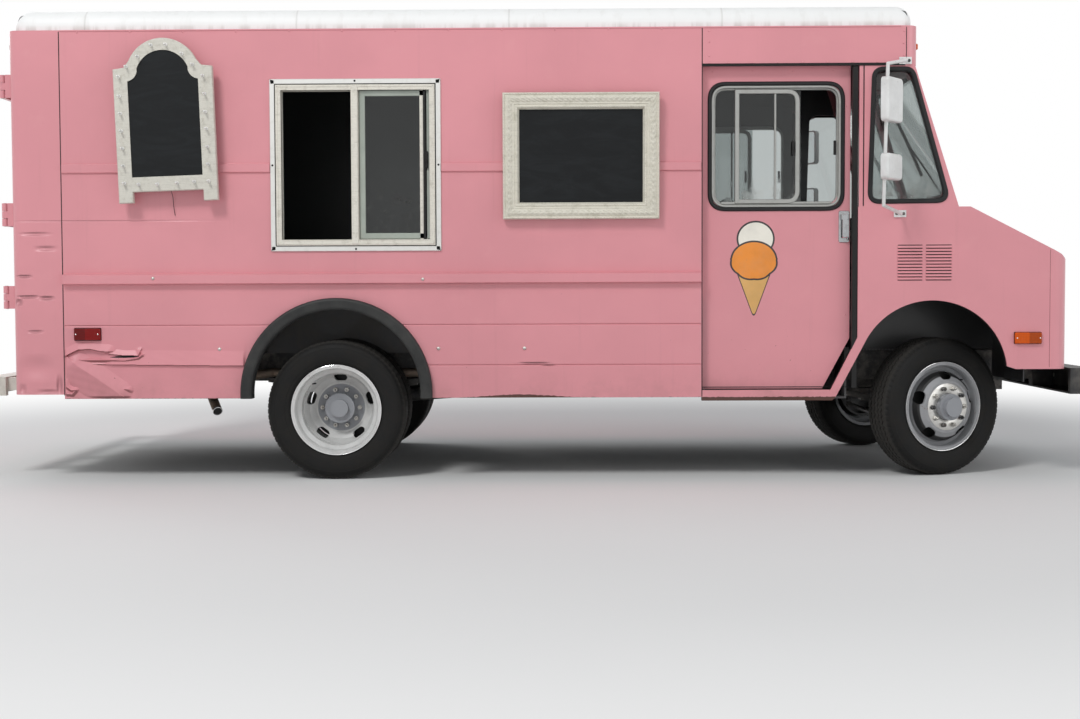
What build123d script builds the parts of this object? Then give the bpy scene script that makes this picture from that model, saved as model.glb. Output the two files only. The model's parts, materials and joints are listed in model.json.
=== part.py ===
from build123d import *
import os
from math import cos, sin, radians

os.makedirs("parts", exist_ok=True)

# Step van sold as an ice cream truck, in millimetres.
# X points forward, Y to the driver's left and Z up.
# The origin is on the ground under the middle of the bumpers.

# Body sizes
HALF_WIDTH = 1150
WALL = 45
WALL_IN = HALF_WIDTH - WALL
REAR_X = -3005
CORNER_X = -2706
WALL_FRONT_X = 985
COWL_REAR_X = 1879
HEADER_FRONT_X = 2217
HOOD_BREAK_X = 2522
NOSE_SEAM_X = 2981
NOSE_X = 3093
BUMPER_X = 3245
SKIRT_Z = 480
ROCKER_Z = 459
NOSE_LOW_Z = 636
HEADER_Z = 2380
EAVE_Z = 2600
ROOF_Z = 2720
ROOF_CROWN = 30
COWL_Z = 1570
HOOD_LOW_Z = 1296

# Floor and frame heights
FLOOR_Z = 760
FLOOR_THICK = 40
FLOOR_LOW_Z = FLOOR_Z - FLOOR_THICK
RAIL_LOW_Z = 540
RAIL_HALF = 430
RAIL_WIDTH = 65
RAIL_GAUGE = 8

# Axles, wheels and tyres
REAR_AXLE_X = -1140
FRONT_AXLE_X = 2340
TYRE_RADIUS = 406
TYRE_WIDTH = 224
RIM_RADIUS = 248
RIM_FLANGE_RADIUS = 263
RIM_HALF = 95
DISC_OFFSET = 133
KINGPIN_Y = 720
FRONT_TRACK_Y = 860
STEER_AT_REST = 22.5
REAR_FACE_Y = 854.5
TWIN_OUTER_Y = REAR_FACE_Y + DISC_OFFSET
TWIN_INNER_Y = REAR_FACE_Y - DISC_OFFSET
STEER_ARM = 170
STEER_ARM_Z = 340

# Sliding door, hung inside the side wall
DOOR_OUT = 1092
DOOR_THICK = 32
DOOR_IN = DOOR_OUT - DOOR_THICK
DOOR_REAR_X = 945
DOOR_FRONT_X = 1843
DOOR_LOW_Z = 525
DOOR_TOP_Z = 2400

# Serving window and its opening in the right wall
WINDOW_X0 = -1494
WINDOW_X1 = -515
WINDOW_Z0 = 1330
WINDOW_Z1 = 2313
WINDOW_FLANGE = 30


def block(x0, x1, y0, y1, z0, z1, mode=Mode.ADD):
    """Add a box given by its six faces to the part in hand."""
    with Locations(((x0 + x1) / 2, (y0 + y1) / 2, (z0 + z1) / 2)):
        Box(x1 - x0, y1 - y0, z1 - z0, mode=mode)


def twin_blocks(x0, x1, y0, y1, z0, z1, mode=Mode.ADD):
    """Add the same box on the right and on the left side."""
    block(x0, x1, -y1, -y0, z0, z1, mode)
    block(x0, x1, y0, y1, z0, z1, mode)


def polygon_xz(points):
    """Closed outline seen from the right side, as a face on Plane.XZ."""
    with BuildSketch(Plane.XZ, mode=Mode.PRIVATE) as outline:
        with BuildLine():
            Polyline(*points, close=True)
        make_face()
    return outline.sketch


def disc_xz(x, z, radius):
    """Round outline seen from the right side, as a face on Plane.XZ."""
    with BuildSketch(Plane.XZ, mode=Mode.PRIVATE) as outline:
        with Locations((x, z)):
            Circle(radius)
    return outline.sketch


def right_plate(face, inner, outer, mode=Mode.ADD):
    """Extrude an outline on Plane.XZ from y = -inner out to y = -outer."""
    extrude(Pos(0, -inner, 0) * face, amount=outer - inner, dir=(0, -1, 0), mode=mode)


def tube_between(start, end, radius):
    """Add a round bar from one point to another."""
    axis = Vector(*end) - Vector(*start)
    with BuildSketch(Plane(origin=start, z_dir=axis), mode=Mode.PRIVATE) as section:
        Circle(radius)
    extrude(section.sketch, amount=axis.length, dir=axis)


def save(name, builder):
    """Label one finished piece and write its own STEP file."""
    builder.part.label = name
    export_step(builder.part, f"parts/{name}.step")


# Ladder frame: two channel rails, open inward
RAIL_REAR_X = -2960
RAIL_FRONT_X = 3110
RAIL_IN = RAIL_HALF - RAIL_WIDTH
RAIL_WEB_IN = RAIL_HALF - RAIL_GAUGE
with BuildPart() as frame_rails:
    twin_blocks(RAIL_REAR_X, RAIL_FRONT_X, RAIL_IN, RAIL_HALF, RAIL_LOW_Z, FLOOR_LOW_Z)
    twin_blocks(
        RAIL_REAR_X,
        RAIL_FRONT_X,
        RAIL_IN,
        RAIL_WEB_IN,
        RAIL_LOW_Z + RAIL_GAUGE,
        FLOOR_LOW_Z - RAIL_GAUGE,
        Mode.SUBTRACT,
    )
save("frame_rails", frame_rails)


# Cross members between the rails' webs, under their top flanges
CROSS_MEMBERS_X = [-2900, -2150, -300, 900, 2950]
CROSS_MEMBER_HALF = 35
CROSS_MEMBER_LOW_Z = 640
with BuildPart() as cross_members:
    for member_x in CROSS_MEMBERS_X:
        block(
            member_x - CROSS_MEMBER_HALF,
            member_x + CROSS_MEMBER_HALF,
            -RAIL_WEB_IN,
            RAIL_WEB_IN,
            CROSS_MEMBER_LOW_Z,
            FLOOR_LOW_Z - RAIL_GAUGE,
        )
save("cross_members", cross_members)


# Spring hangers: a cap on the rail and two cheeks round each eye of the leaf springs
HANGER_HALF = 30
HANGER_CHEEK = 8
HANGER_CHEEKS_Y = [-45, 37]
SPRING_HANGERS = [
    # x, middle y of the spring, height of its eye, inner and outer edge of the cap
    (-1810, 485, 589, RAIL_HALF, 530),
    (-470, 485, 589, RAIL_HALF, 530),
    (1790, 397, 500, 352, 442),
    (2890, 397, 500, 352, 442),
]
with BuildPart() as spring_hangers:
    for hanger_x, spring_y, eye_z, cap_in, cap_out in SPRING_HANGERS:
        twin_blocks(
            hanger_x - HANGER_HALF, hanger_x + HANGER_HALF, cap_in, cap_out, eye_z + 26, eye_z + 40
        )
        for cheek in HANGER_CHEEKS_Y:
            twin_blocks(
                hanger_x - HANGER_HALF,
                hanger_x + HANGER_HALF,
                spring_y + cheek,
                spring_y + cheek + HANGER_CHEEK,
                eye_z - 26,
                eye_z + 30,
            )
save("spring_hangers", spring_hangers)


# Load floor with its rear wheel boxes, and the cab floor with a step well at each door
WHEEL_BOX_HALF = 505
WHEEL_BOX_IN = 580
WHEEL_BOX_TOP = 1010
SHEET = 12
STEP_X0 = 1010
STEP_X1 = 1835
STEP_IN = 720
STEP_OUT = 1050
STEP_Z = 475
DOOR_RUN_X = 60
BULKHEAD_X = 2400
HOUSING_IN = 478
with BuildPart() as floor:
    block(REAR_X + 45, DOOR_RUN_X, -WALL_IN, WALL_IN, FLOOR_LOW_Z, FLOOR_Z)
    block(DOOR_RUN_X, COWL_REAR_X - 30, -STEP_OUT, STEP_OUT, FLOOR_LOW_Z, FLOOR_Z)
    twin_blocks(
        REAR_AXLE_X - WHEEL_BOX_HALF,
        REAR_AXLE_X + WHEEL_BOX_HALF,
        WHEEL_BOX_IN,
        WALL_IN,
        FLOOR_LOW_Z,
        WHEEL_BOX_TOP,
    )
    twin_blocks(
        REAR_AXLE_X - WHEEL_BOX_HALF + SHEET,
        REAR_AXLE_X + WHEEL_BOX_HALF - SHEET,
        WHEEL_BOX_IN + SHEET,
        WALL_IN,
        FLOOR_LOW_Z,
        WHEEL_BOX_TOP - SHEET,
        Mode.SUBTRACT,
    )
    twin_blocks(STEP_X0, STEP_X1, STEP_IN, STEP_OUT, STEP_Z - SHEET, FLOOR_Z)
    twin_blocks(
        STEP_X0 + SHEET,
        STEP_X1 - SHEET,
        STEP_IN + SHEET,
        STEP_OUT,
        STEP_Z,
        FLOOR_Z,
        Mode.SUBTRACT,
    )
    block(COWL_REAR_X - 30, BULKHEAD_X, -HOUSING_IN, HOUSING_IN, FLOOR_LOW_Z, FLOOR_Z)
    block(1350, BULKHEAD_X, -330, 330, FLOOR_LOW_Z, FLOOR_Z, Mode.SUBTRACT)
save("floor", floor)


# Side walls: flat panels with rub rails, lap lips along the skirt and an open rear arch
ARCH_X = -1125
ARCH_Z = 505
ARCH_CUT = 500
FLARE_IN = 486
FLARE_OUT = 555
RUB_STRIPS = [
    # low z, high z, how far it stands out, slope of its two long edges
    (1137, 1205, 35, 9),
    (1780, 1835, 12, 6),
]
GROOVES_Z = [(896, 908), (662, 674)]
GROOVE_DEPTH = 6


def rub_strip(x0, x1, low, high, proud, slope):
    """Trapezoid strip along the outside of the right wall."""
    with BuildSketch(Plane.YZ.offset(x0), mode=Mode.PRIVATE) as section:
        with BuildLine():
            Polyline(
                (-HALF_WIDTH + 5, low),
                (-HALF_WIDTH, low),
                (-HALF_WIDTH - proud, low + slope),
                (-HALF_WIDTH - proud, high - slope),
                (-HALF_WIDTH, high),
                (-HALF_WIDTH + 5, high),
                close=True,
            )
        make_face()
    extrude(section.sketch, amount=x1 - x0, dir=(1, 0, 0))


with BuildPart() as plain_wall:
    block(CORNER_X, WALL_FRONT_X, -HALF_WIDTH, -WALL_IN, SKIRT_Z, EAVE_Z)
    for low, high, proud, slope in RUB_STRIPS:
        rub_strip(CORNER_X + 6, WALL_FRONT_X - 6, low, high, proud, slope)
    for low, high in GROOVES_Z:
        with BuildSketch(Plane.YZ.offset(CORNER_X + 6)) as groove:
            with BuildLine():
                Polyline(
                    (-HALF_WIDTH - 1, low - 1),
                    (-HALF_WIDTH + GROOVE_DEPTH, high - 3),
                    (-HALF_WIDTH + GROOVE_DEPTH, high),
                    (-HALF_WIDTH - 1, high),
                    close=True,
                )
            make_face()
        extrude(amount=WALL_FRONT_X - CORNER_X - 12, mode=Mode.SUBTRACT)
    right_plate(disc_xz(ARCH_X, ARCH_Z, ARCH_CUT), WALL_IN - 5, HALF_WIDTH + 60, Mode.SUBTRACT)
    right_plate(disc_xz(ARCH_X, ARCH_Z, FLARE_OUT + 1), HALF_WIDTH, HALF_WIDTH + 60, Mode.SUBTRACT)

with BuildPart() as left_wall:
    add(mirror(plain_wall.part, about=Plane.XZ))
save("left_wall", left_wall)

with BuildPart() as right_wall:
    add(plain_wall.part)
    block(
        WINDOW_X0 + WINDOW_FLANGE,
        WINDOW_X1 - WINDOW_FLANGE,
        -HALF_WIDTH - 60,
        -WALL_IN + 5,
        WINDOW_Z0 + WINDOW_FLANGE,
        WINDOW_Z1 - WINDOW_FLANGE,
        Mode.SUBTRACT,
    )
    block(
        WINDOW_X0 - 4,
        WINDOW_X1 + 4,
        -HALF_WIDTH - 60,
        -HALF_WIDTH,
        WINDOW_Z0 - 4,
        WINDOW_Z1 + 4,
        Mode.SUBTRACT,
    )
save("right_wall", right_wall)


# Rear frame: rounded corner panels, header, sill and the fixed half of six strap hinges
REAR_OPENING_Y = 935
REAR_SILL_Z = 760
REAR_HEADER_Z = 2450
CORNER_LOW_Z = 505
CORNER_RADIUS = 60
HINGE_X = -3060
HINGE_Y = 1075
HINGE_BARREL = 18
HINGE_Z = [1070, 1550, 2290]
HINGE_HALF = 66
KNUCKLE_HALF = 20
with BuildPart() as rear_frame:
    with BuildSketch(Plane.XY.offset(CORNER_LOW_Z)):
        with Locations(((REAR_X + CORNER_X) / 2, 0)):
            Rectangle(CORNER_X - REAR_X, 2 * HALF_WIDTH)
    extrude(amount=EAVE_Z - CORNER_LOW_Z)
    fillet(
        rear_frame.edges().filter_by(Axis.Z).group_by(Axis.X)[0],
        radius=CORNER_RADIUS,
    )
    block(REAR_X + WALL, CORNER_X, -WALL_IN, WALL_IN, CORNER_LOW_Z, EAVE_Z, Mode.SUBTRACT)
    block(
        REAR_X,
        CORNER_X,
        -REAR_OPENING_Y,
        REAR_OPENING_Y,
        REAR_SILL_Z,
        REAR_HEADER_Z,
        Mode.SUBTRACT,
    )
    block(REAR_X, CORNER_X, -1000, 1000, CORNER_LOW_Z, 620, Mode.SUBTRACT)
    for hinge_z in HINGE_Z:
        twin_blocks(
            HINGE_X + 23,
            REAR_X + 5,
            HINGE_Y + 17,
            HINGE_Y + 27,
            hinge_z - HINGE_HALF,
            hinge_z + HINGE_HALF,
        )
        twin_blocks(
            HINGE_X,
            REAR_X + 5,
            HINGE_Y + 2,
            HINGE_Y + 17,
            hinge_z - KNUCKLE_HALF,
            hinge_z + KNUCKLE_HALF,
        )
        with Locations((HINGE_X, -HINGE_Y, hinge_z), (HINGE_X, HINGE_Y, hinge_z)):
            Cylinder(HINGE_BARREL, 2 * KNUCKLE_HALF)
save("rear_frame", rear_frame)


# Rear doors: two leaves with a pressed panel, hung on straps
DOOR_GAP = 5
LEAF_OUT_X = -3010
LEAF_IN_X = -2975
LEAF_EDGE_Y = 925
LEAF_Z0 = 770
LEAF_Z1 = 2440
STRAP_END_Y = -820
with BuildPart() as right_rear_door:
    block(LEAF_OUT_X, LEAF_IN_X, -LEAF_EDGE_Y, -DOOR_GAP, LEAF_Z0, LEAF_Z1)
    for panel_z0, panel_z1 in [(LEAF_Z0 + 90, 1560), (1640, LEAF_Z1 - 90)]:
        block(LEAF_OUT_X, LEAF_OUT_X + 8, -LEAF_EDGE_Y + 110, -110, panel_z0, panel_z1, Mode.SUBTRACT)
    for hinge_z in HINGE_Z:
        strap_z = (hinge_z - HINGE_HALF, hinge_z + HINGE_HALF)
        block(HINGE_X - 13, HINGE_X + 13, -HINGE_Y + 25, STRAP_END_Y, *strap_z)
        block(HINGE_X + 13, LEAF_OUT_X, -LEAF_EDGE_Y + 5, STRAP_END_Y, *strap_z)
        for side in (-1, 1):
            knuckle_z = hinge_z + side * (KNUCKLE_HALF + HINGE_HALF + 2) / 2
            knuckle_tall = HINGE_HALF - KNUCKLE_HALF - 2
            block(
                HINGE_X - 13,
                HINGE_X + 13,
                -HINGE_Y,
                -HINGE_Y + 30,
                knuckle_z - knuckle_tall / 2,
                knuckle_z + knuckle_tall / 2,
            )
            with Locations((HINGE_X, -HINGE_Y, knuckle_z)):
                Cylinder(HINGE_BARREL, knuckle_tall)
    block(LEAF_OUT_X - 22, LEAF_OUT_X, -75, -45, 1200, 1900)
    block(LEAF_OUT_X - 34, LEAF_OUT_X, -95, -30, 1440, 1500)
save("right_rear_door", right_rear_door)

with BuildPart() as left_rear_door:
    add(mirror(right_rear_door.part, about=Plane.XZ))
save("left_rear_door", left_rear_door)


# Roof: a hollow cap with rounded edges, set in a little from the walls
ROOF_HALF = 1130
ROOF_RADIUS = 95
ROOF_REAR_X = -2985
ROOF_FRONT_X = 2195
ROOF_SHEET = 30


def roof_solid(inset):
    """Crowned cap with a rounded top edge, drawn in by the given amount."""
    half = ROOF_HALF - inset
    radius = ROOF_RADIUS - inset / 2
    with BuildPart(mode=Mode.PRIVATE) as cap:
        with BuildSketch(Plane.YZ.offset(ROOF_REAR_X + inset)):
            with BuildLine():
                edge_z = ROOF_Z - inset
                Polyline((half, edge_z), (half, EAVE_Z), (-half, EAVE_Z), (-half, edge_z))
                ThreePointArc((-half, edge_z), (0, edge_z + ROOF_CROWN), (half, edge_z))
            make_face()
        extrude(amount=ROOF_FRONT_X - ROOF_REAR_X - 2 * inset)
        fillet(cap.edges().filter_by(Axis.X).group_by(Axis.Z)[-1], radius=radius)
        for end in (0, -1):
            end_face = cap.faces().sort_by(Axis.X)[end]
            fillet(end_face.edges().filter_by(GeomType.CIRCLE), radius=radius)
    return cap.part


with BuildPart() as roof:
    add(roof_solid(0))
    add(roof_solid(ROOF_SHEET), mode=Mode.SUBTRACT)
save("roof", roof)


# Cab frame: header over the doors and windshield, quarter window posts,
# windshield surround and the track that each sliding door hangs from
HEADER_CORNER = 65
POST_REAR_X = 1883
PILLAR_TOP_X = 2197
PILLAR_FOOT_X = 2455
SCREEN_RAKE = (PILLAR_FOOT_X - PILLAR_TOP_X) / (HEADER_Z - COWL_Z)
SCREEN_HALF = 1068
SCREEN_POST = 28
TRACK_X0 = 150
QUARTER_HOLE = [
    (1948, 1604),
    (1974, 2352),
    (2181, 2352),
    (2400, 1604),
]


def screen_x(z):
    """Front of the raked windshield surround at a given height."""
    return PILLAR_TOP_X + (HEADER_Z - z) * SCREEN_RAKE


def rounded_xz(points, radius):
    """Closed outline seen from the side, with its corners rounded."""
    with BuildSketch(Plane.XZ, mode=Mode.PRIVATE) as outline:
        with BuildLine():
            Polyline(*points, close=True)
        make_face()
        fillet(outline.vertices(), radius=radius)
    return outline.sketch


def both_plates(face, inner, outer, mode=Mode.ADD):
    """Extrude an outline at the right side and its mirror image at the left."""
    for side in (-1, 1):
        extrude(Pos(0, side * inner, 0) * face, amount=outer - inner, dir=(0, side, 0), mode=mode)


with BuildPart() as cab_frame:
    with BuildSketch(Plane.XY.offset(HEADER_Z)):
        with Locations(((WALL_FRONT_X + HEADER_FRONT_X) / 2, 0)):
            Rectangle(HEADER_FRONT_X - WALL_FRONT_X, 2 * HALF_WIDTH)
    extrude(amount=EAVE_Z - HEADER_Z)
    fillet(cab_frame.edges().filter_by(Axis.Z).group_by(Axis.X)[-1], radius=HEADER_CORNER)
    block(
        WALL_FRONT_X,
        HEADER_FRONT_X - WALL,
        -WALL_IN,
        WALL_IN,
        HEADER_Z,
        EAVE_Z,
        Mode.SUBTRACT,
    )
    post_outline = polygon_xz(
        [
            (POST_REAR_X, COWL_Z),
            (POST_REAR_X, HEADER_Z),
            (PILLAR_TOP_X, HEADER_Z),
            (PILLAR_FOOT_X, COWL_Z),
        ]
    )
    both_plates(post_outline, WALL_IN, HALF_WIDTH)
    screen_outline = polygon_xz(
        [
            (PILLAR_FOOT_X - WALL, COWL_Z),
            (PILLAR_FOOT_X, COWL_Z),
            (PILLAR_TOP_X, HEADER_Z),
            (PILLAR_TOP_X - WALL, HEADER_Z),
        ]
    )
    right_plate(screen_outline, -HALF_WIDTH, HALF_WIDTH)
    both_plates(rounded_xz(QUARTER_HOLE, 60), WALL_IN - 50, HALF_WIDTH + 5, Mode.SUBTRACT)
    for side in (-1, 1):
        pane_mid = side * (SCREEN_POST + SCREEN_HALF) / 2
        with BuildSketch(Plane.YZ.offset(PILLAR_TOP_X - 100)):
            with Locations((pane_mid, (COWL_Z + HEADER_Z) / 2 + 12)):
                RectangleRounded(SCREEN_HALF - SCREEN_POST, 690, 70)
        extrude(amount=PILLAR_FOOT_X - PILLAR_TOP_X + 150, mode=Mode.SUBTRACT)
    twin_blocks(TRACK_X0, DOOR_FRONT_X, DOOR_IN - 5, WALL_IN, 2422, 2450)
    twin_blocks(TRACK_X0, DOOR_FRONT_X, DOOR_IN - 5, DOOR_IN, 2408, 2422)
save("cab_frame", cab_frame)


# Nose: cowl sides with the front arches and rocker, rounded front corners,
# sloping top with a hood opening, and the inner housings over the front wheels
FRONT_ARCH_X = 2310
FRONT_ARCH_Z = 600
FRONT_ARCH_RADIUS = 433
NOSE_CORNER = 95
NOSE_SHEET = 28
TOP_SHEET = 22
HOOD_SLOPE = (COWL_Z - HOOD_LOW_Z) / (3051 - HOOD_BREAK_X)
HOOD_X0 = 2546
HOOD_X1 = 3026
HOOD_HALF = 700
HOOD_GAP = 6
GRILLE_HALF = 430
GRILLE_Z0 = 850
GRILLE_Z1 = 1170
LAMP_Y = 765
LAMP_Z = 1010
LAMP_RADIUS = 89
HOUSING_SHEET = 8
LOUVRE_X = [(2107, 2248), (2269, 2415)]
LOUVRE_Z0 = 1151
LOUVRE_PITCH = 18.2
LOUVRES = 11


def nose_top(x):
    """Height of the sloping nose top at a given place along the truck."""
    return COWL_Z - (x - HOOD_BREAK_X) * HOOD_SLOPE


def arch_point(degrees):
    """Point on the round part of the front wheel arch."""
    return (
        FRONT_ARCH_X + FRONT_ARCH_RADIUS * cos(radians(degrees)),
        FRONT_ARCH_Z + FRONT_ARCH_RADIUS * sin(radians(degrees)),
    )


with BuildSketch(Plane.XZ, mode=Mode.PRIVATE) as cowl_side:
    with BuildLine():
        Polyline(
            arch_point(150),
            (1754, 476),
            (1736, ROCKER_Z),
            (WALL_FRONT_X, ROCKER_Z),
            (WALL_FRONT_X, DOOR_LOW_Z - 5),
            (1727, DOOR_LOW_Z - 5),
            (COWL_REAR_X, 822),
            (COWL_REAR_X, COWL_Z),
            (HOOD_BREAK_X, COWL_Z),
            (NOSE_SEAM_X, nose_top(NOSE_SEAM_X)),
            (NOSE_SEAM_X, NOSE_LOW_Z),
            (2790, NOSE_LOW_Z),
            arch_point(7),
        )
        ThreePointArc(arch_point(7), arch_point(90), arch_point(150))
    make_face()

with BuildPart() as nose:
    both_plates(cowl_side.sketch, WALL_IN, HALF_WIDTH)
    with BuildPart(mode=Mode.PRIVATE) as front_shell:
        front_outline = polygon_xz(
            [
                (NOSE_SEAM_X, NOSE_LOW_Z),
                (NOSE_SEAM_X, nose_top(NOSE_SEAM_X)),
                (3051, HOOD_LOW_Z),
                (NOSE_X, HOOD_LOW_Z - 36),
                (NOSE_X, NOSE_LOW_Z),
            ]
        )
        right_plate(front_outline, -HALF_WIDTH, HALF_WIDTH)
        fillet(front_shell.edges().filter_by(Axis.Z).group_by(Axis.X)[-1], radius=NOSE_CORNER)
        front_inside = polygon_xz(
            [
                (NOSE_SEAM_X, NOSE_LOW_Z),
                (NOSE_SEAM_X, nose_top(NOSE_SEAM_X) - TOP_SHEET),
                (3040, nose_top(3040) - TOP_SHEET),
                (NOSE_X - NOSE_SHEET, HOOD_LOW_Z - 60),
                (NOSE_X - NOSE_SHEET, NOSE_LOW_Z),
            ]
        )
        right_plate(front_inside, -WALL_IN + 25, WALL_IN - 25, Mode.SUBTRACT)
        block(NOSE_X - 100, NOSE_X, -1020, 1020, NOSE_LOW_Z, FLOOR_LOW_Z + 8, Mode.SUBTRACT)
    add(front_shell.part)
    top_outline = polygon_xz(
        [
            (PILLAR_FOOT_X - 60, COWL_Z - TOP_SHEET),
            (PILLAR_FOOT_X - 60, COWL_Z),
            (HOOD_BREAK_X, COWL_Z),
            (NOSE_SEAM_X, nose_top(NOSE_SEAM_X)),
            (NOSE_SEAM_X, nose_top(NOSE_SEAM_X) - TOP_SHEET),
            (HOOD_BREAK_X, COWL_Z - TOP_SHEET),
        ]
    )
    right_plate(top_outline, -WALL_IN, WALL_IN)
    block(HOOD_X0, HOOD_X1, -HOOD_HALF, HOOD_HALF, 1240, 1600, Mode.SUBTRACT)
    block(NOSE_X - 60, NOSE_X + 5, -GRILLE_HALF, GRILLE_HALF, GRILLE_Z0, GRILLE_Z1, Mode.SUBTRACT)
    with BuildSketch(Plane.YZ.offset(NOSE_X - 60)):
        with Locations((-LAMP_Y, LAMP_Z), (LAMP_Y, LAMP_Z)):
            Circle(LAMP_RADIUS + 8)
    extrude(amount=80, mode=Mode.SUBTRACT)
    housing_outline = polygon_xz(
        [
            (1852, 640),
            (1852, 905),
            (1990, 1045),
            (2655, 1051),
            (2852, 855),
            (2852, 560),
            (2844, 560),
            (2844, 851),
            (2652, 1043),
            (1993, 1037),
            (1860, 902),
            (1860, 640),
        ]
    )
    both_plates(housing_outline, HOUSING_IN, WALL_IN)
    housing_wall = polygon_xz(
        [(1852, 730), (1852, 905), (1990, 1045), (2655, 1051), (2852, 855), (2852, 730)]
    )
    both_plates(housing_wall, HOUSING_IN, HOUSING_IN + HOUSING_SHEET)
    for louvre_x0, louvre_x1 in LOUVRE_X:
        for number in range(LOUVRES):
            low = LOUVRE_Z0 + number * LOUVRE_PITCH
            for side in (-1, 1):
                with BuildSketch(Plane.YZ.offset(louvre_x0), mode=Mode.PRIVATE) as blade:
                    with BuildLine():
                        Polyline(
                            (side * (HALF_WIDTH - 2), low + 2),
                            (side * (HALF_WIDTH + 7), low + 2),
                            (side * HALF_WIDTH, low + 14),
                            (side * (HALF_WIDTH - 2), low + 14),
                            close=True,
                        )
                    make_face()
                extrude(blade.sketch, amount=louvre_x1 - louvre_x0, dir=(1, 0, 0))
save("nose", nose)


# Hood: lid over the engine bay, with a turned-down rim and two hinge leaves at its rear edge
HOOD_HINGE_X = 2540
HOOD_HINGE_Z = nose_top(HOOD_HINGE_X) + 12
with BuildPart() as hood:
    lid_x0 = HOOD_X0 + HOOD_GAP
    lid_x1 = HOOD_X1 - HOOD_GAP
    lid_outline = polygon_xz(
        [
            (lid_x0, nose_top(lid_x0)),
            (lid_x1, nose_top(lid_x1)),
            (lid_x1, nose_top(lid_x1) - TOP_SHEET),
            (lid_x0, nose_top(lid_x0) - TOP_SHEET),
        ]
    )
    right_plate(lid_outline, -HOOD_HALF + HOOD_GAP, HOOD_HALF - HOOD_GAP)
    lid_hollow = polygon_xz(
        [
            (lid_x0 + 25, nose_top(lid_x0 + 25) - 5),
            (lid_x1 - 25, nose_top(lid_x1 - 25) - 5),
            (lid_x1 - 25, nose_top(lid_x1 - 25) - 40),
            (lid_x0 + 25, nose_top(lid_x0 + 25) - 40),
        ]
    )
    right_plate(lid_hollow, -HOOD_HALF + HOOD_GAP + 25, HOOD_HALF - HOOD_GAP - 25, Mode.SUBTRACT)
    hinge_leaf = polygon_xz(
        [
            (HOOD_HINGE_X, HOOD_HINGE_Z - 6),
            (HOOD_HINGE_X, HOOD_HINGE_Z + 6),
            (HOOD_HINGE_X + 70, nose_top(HOOD_HINGE_X + 70) + 6),
            (HOOD_HINGE_X + 70, nose_top(HOOD_HINGE_X + 70) - 2),
            (HOOD_HINGE_X + 14, nose_top(HOOD_HINGE_X + 14) - 2),
        ]
    )
    both_plates(hinge_leaf, 480, 540)
    both_plates(disc_xz(HOOD_HINGE_X, HOOD_HINGE_Z, 8), 480, 540)
save("hood", hood)


# Grille: a frame with slanted cross slats in the front face
SLATS = 9
with BuildPart() as grille:
    grille_half = GRILLE_HALF - 2
    block(NOSE_X - 24, NOSE_X + 6, -grille_half, grille_half, GRILLE_Z0 + 2, GRILLE_Z1 - 2)
    block(
        NOSE_X - 30,
        NOSE_X + 10,
        -grille_half + 22,
        grille_half - 22,
        GRILLE_Z0 + 24,
        GRILLE_Z1 - 24,
        Mode.SUBTRACT,
    )
    slat_pitch = (GRILLE_Z1 - GRILLE_Z0 - 48) / SLATS
    for number in range(SLATS):
        slat_z = GRILLE_Z0 + 24 + (number + 0.5) * slat_pitch
        slat = polygon_xz(
            [
                (NOSE_X - 20, slat_z + 4),
                (NOSE_X - 20, slat_z + 9),
                (NOSE_X + 3, slat_z - 4),
                (NOSE_X + 3, slat_z - 9),
            ]
        )
        right_plate(slat, -grille_half + 20, grille_half - 20)
    for post_y in (-140, 140):
        block(NOSE_X - 24, NOSE_X - 10, post_y - 8, post_y + 8, GRILLE_Z0 + 20, GRILLE_Z1 - 20)
save("grille", grille)


# Head lamps: bucket, chrome ring and a domed lens on each side
LENS_RADIUS = ((LAMP_RADIUS - 4) ** 2 + 12**2) / (2 * 12)
with BuildPart(mode=Mode.PRIVATE) as lamp:
    with BuildSketch(Plane.XY):
        with BuildLine():
            Polyline(
                (26, 0),
                (-75, 0),
                (-75, 45),
                (-8, LAMP_RADIUS + 4),
                (0, LAMP_RADIUS + 4),
                (0, LAMP_RADIUS + 20),
                (12, LAMP_RADIUS + 18),
                (14, LAMP_RADIUS - 4),
            )
            RadiusArc((14, LAMP_RADIUS - 4), (26, 0), LENS_RADIUS)
        make_face()
    revolve(axis=Axis.X)
with BuildPart() as head_lamps:
    with Locations((NOSE_X, -LAMP_Y, LAMP_Z), (NOSE_X, LAMP_Y, LAMP_Z)):
        add(lamp.part)
save("head_lamps", head_lamps)


# Marker lamps: amber and red lenses on the sides, turn signals, tail lamps and roof line lamps
SIDE_LAMPS = [
    # x0, x1, z0, z1, how far it stands out
    (-2645, -2487, 817, 892, 22),
    (2776, 2935, 780, 850, 22),
]
END_LAMPS = [
    # face x, how far it stands out forward, middle y, half width, z0, z1
    (NOSE_X, 20, 765, 75, 800, 870),
    (HEADER_FRONT_X, 20, 0, 50, 2475, 2515),
    (HEADER_FRONT_X, 20, 200, 50, 2475, 2515),
    (HEADER_FRONT_X, 20, 1010, 50, 2475, 2515),
    (REAR_X, -9, 1015, 50, 640, 790),
    (REAR_X, -20, 0, 50, 2500, 2540),
    (REAR_X, -20, 200, 50, 2500, 2540),
    (REAR_X, -20, 1010, 50, 2500, 2540),
]
with BuildPart() as marker_lamps:
    for x0, x1, z0, z1, proud in SIDE_LAMPS:
        for side in (-1, 1):
            with BuildSketch(Plane.XZ.offset(-side * HALF_WIDTH)):
                with Locations(((x0 + x1) / 2, (z0 + z1) / 2)):
                    Rectangle(x1 - x0, z1 - z0)
            extrude(amount=-side * proud, taper=20)
    for face_x, proud, lamp_y, half, z0, z1 in END_LAMPS:
        for side in (-1, 1):
            x0, x1 = sorted((face_x, face_x + proud))
            block(x0, x1, side * lamp_y - half, side * lamp_y + half, z0, z1)
save("marker_lamps", marker_lamps)


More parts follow.
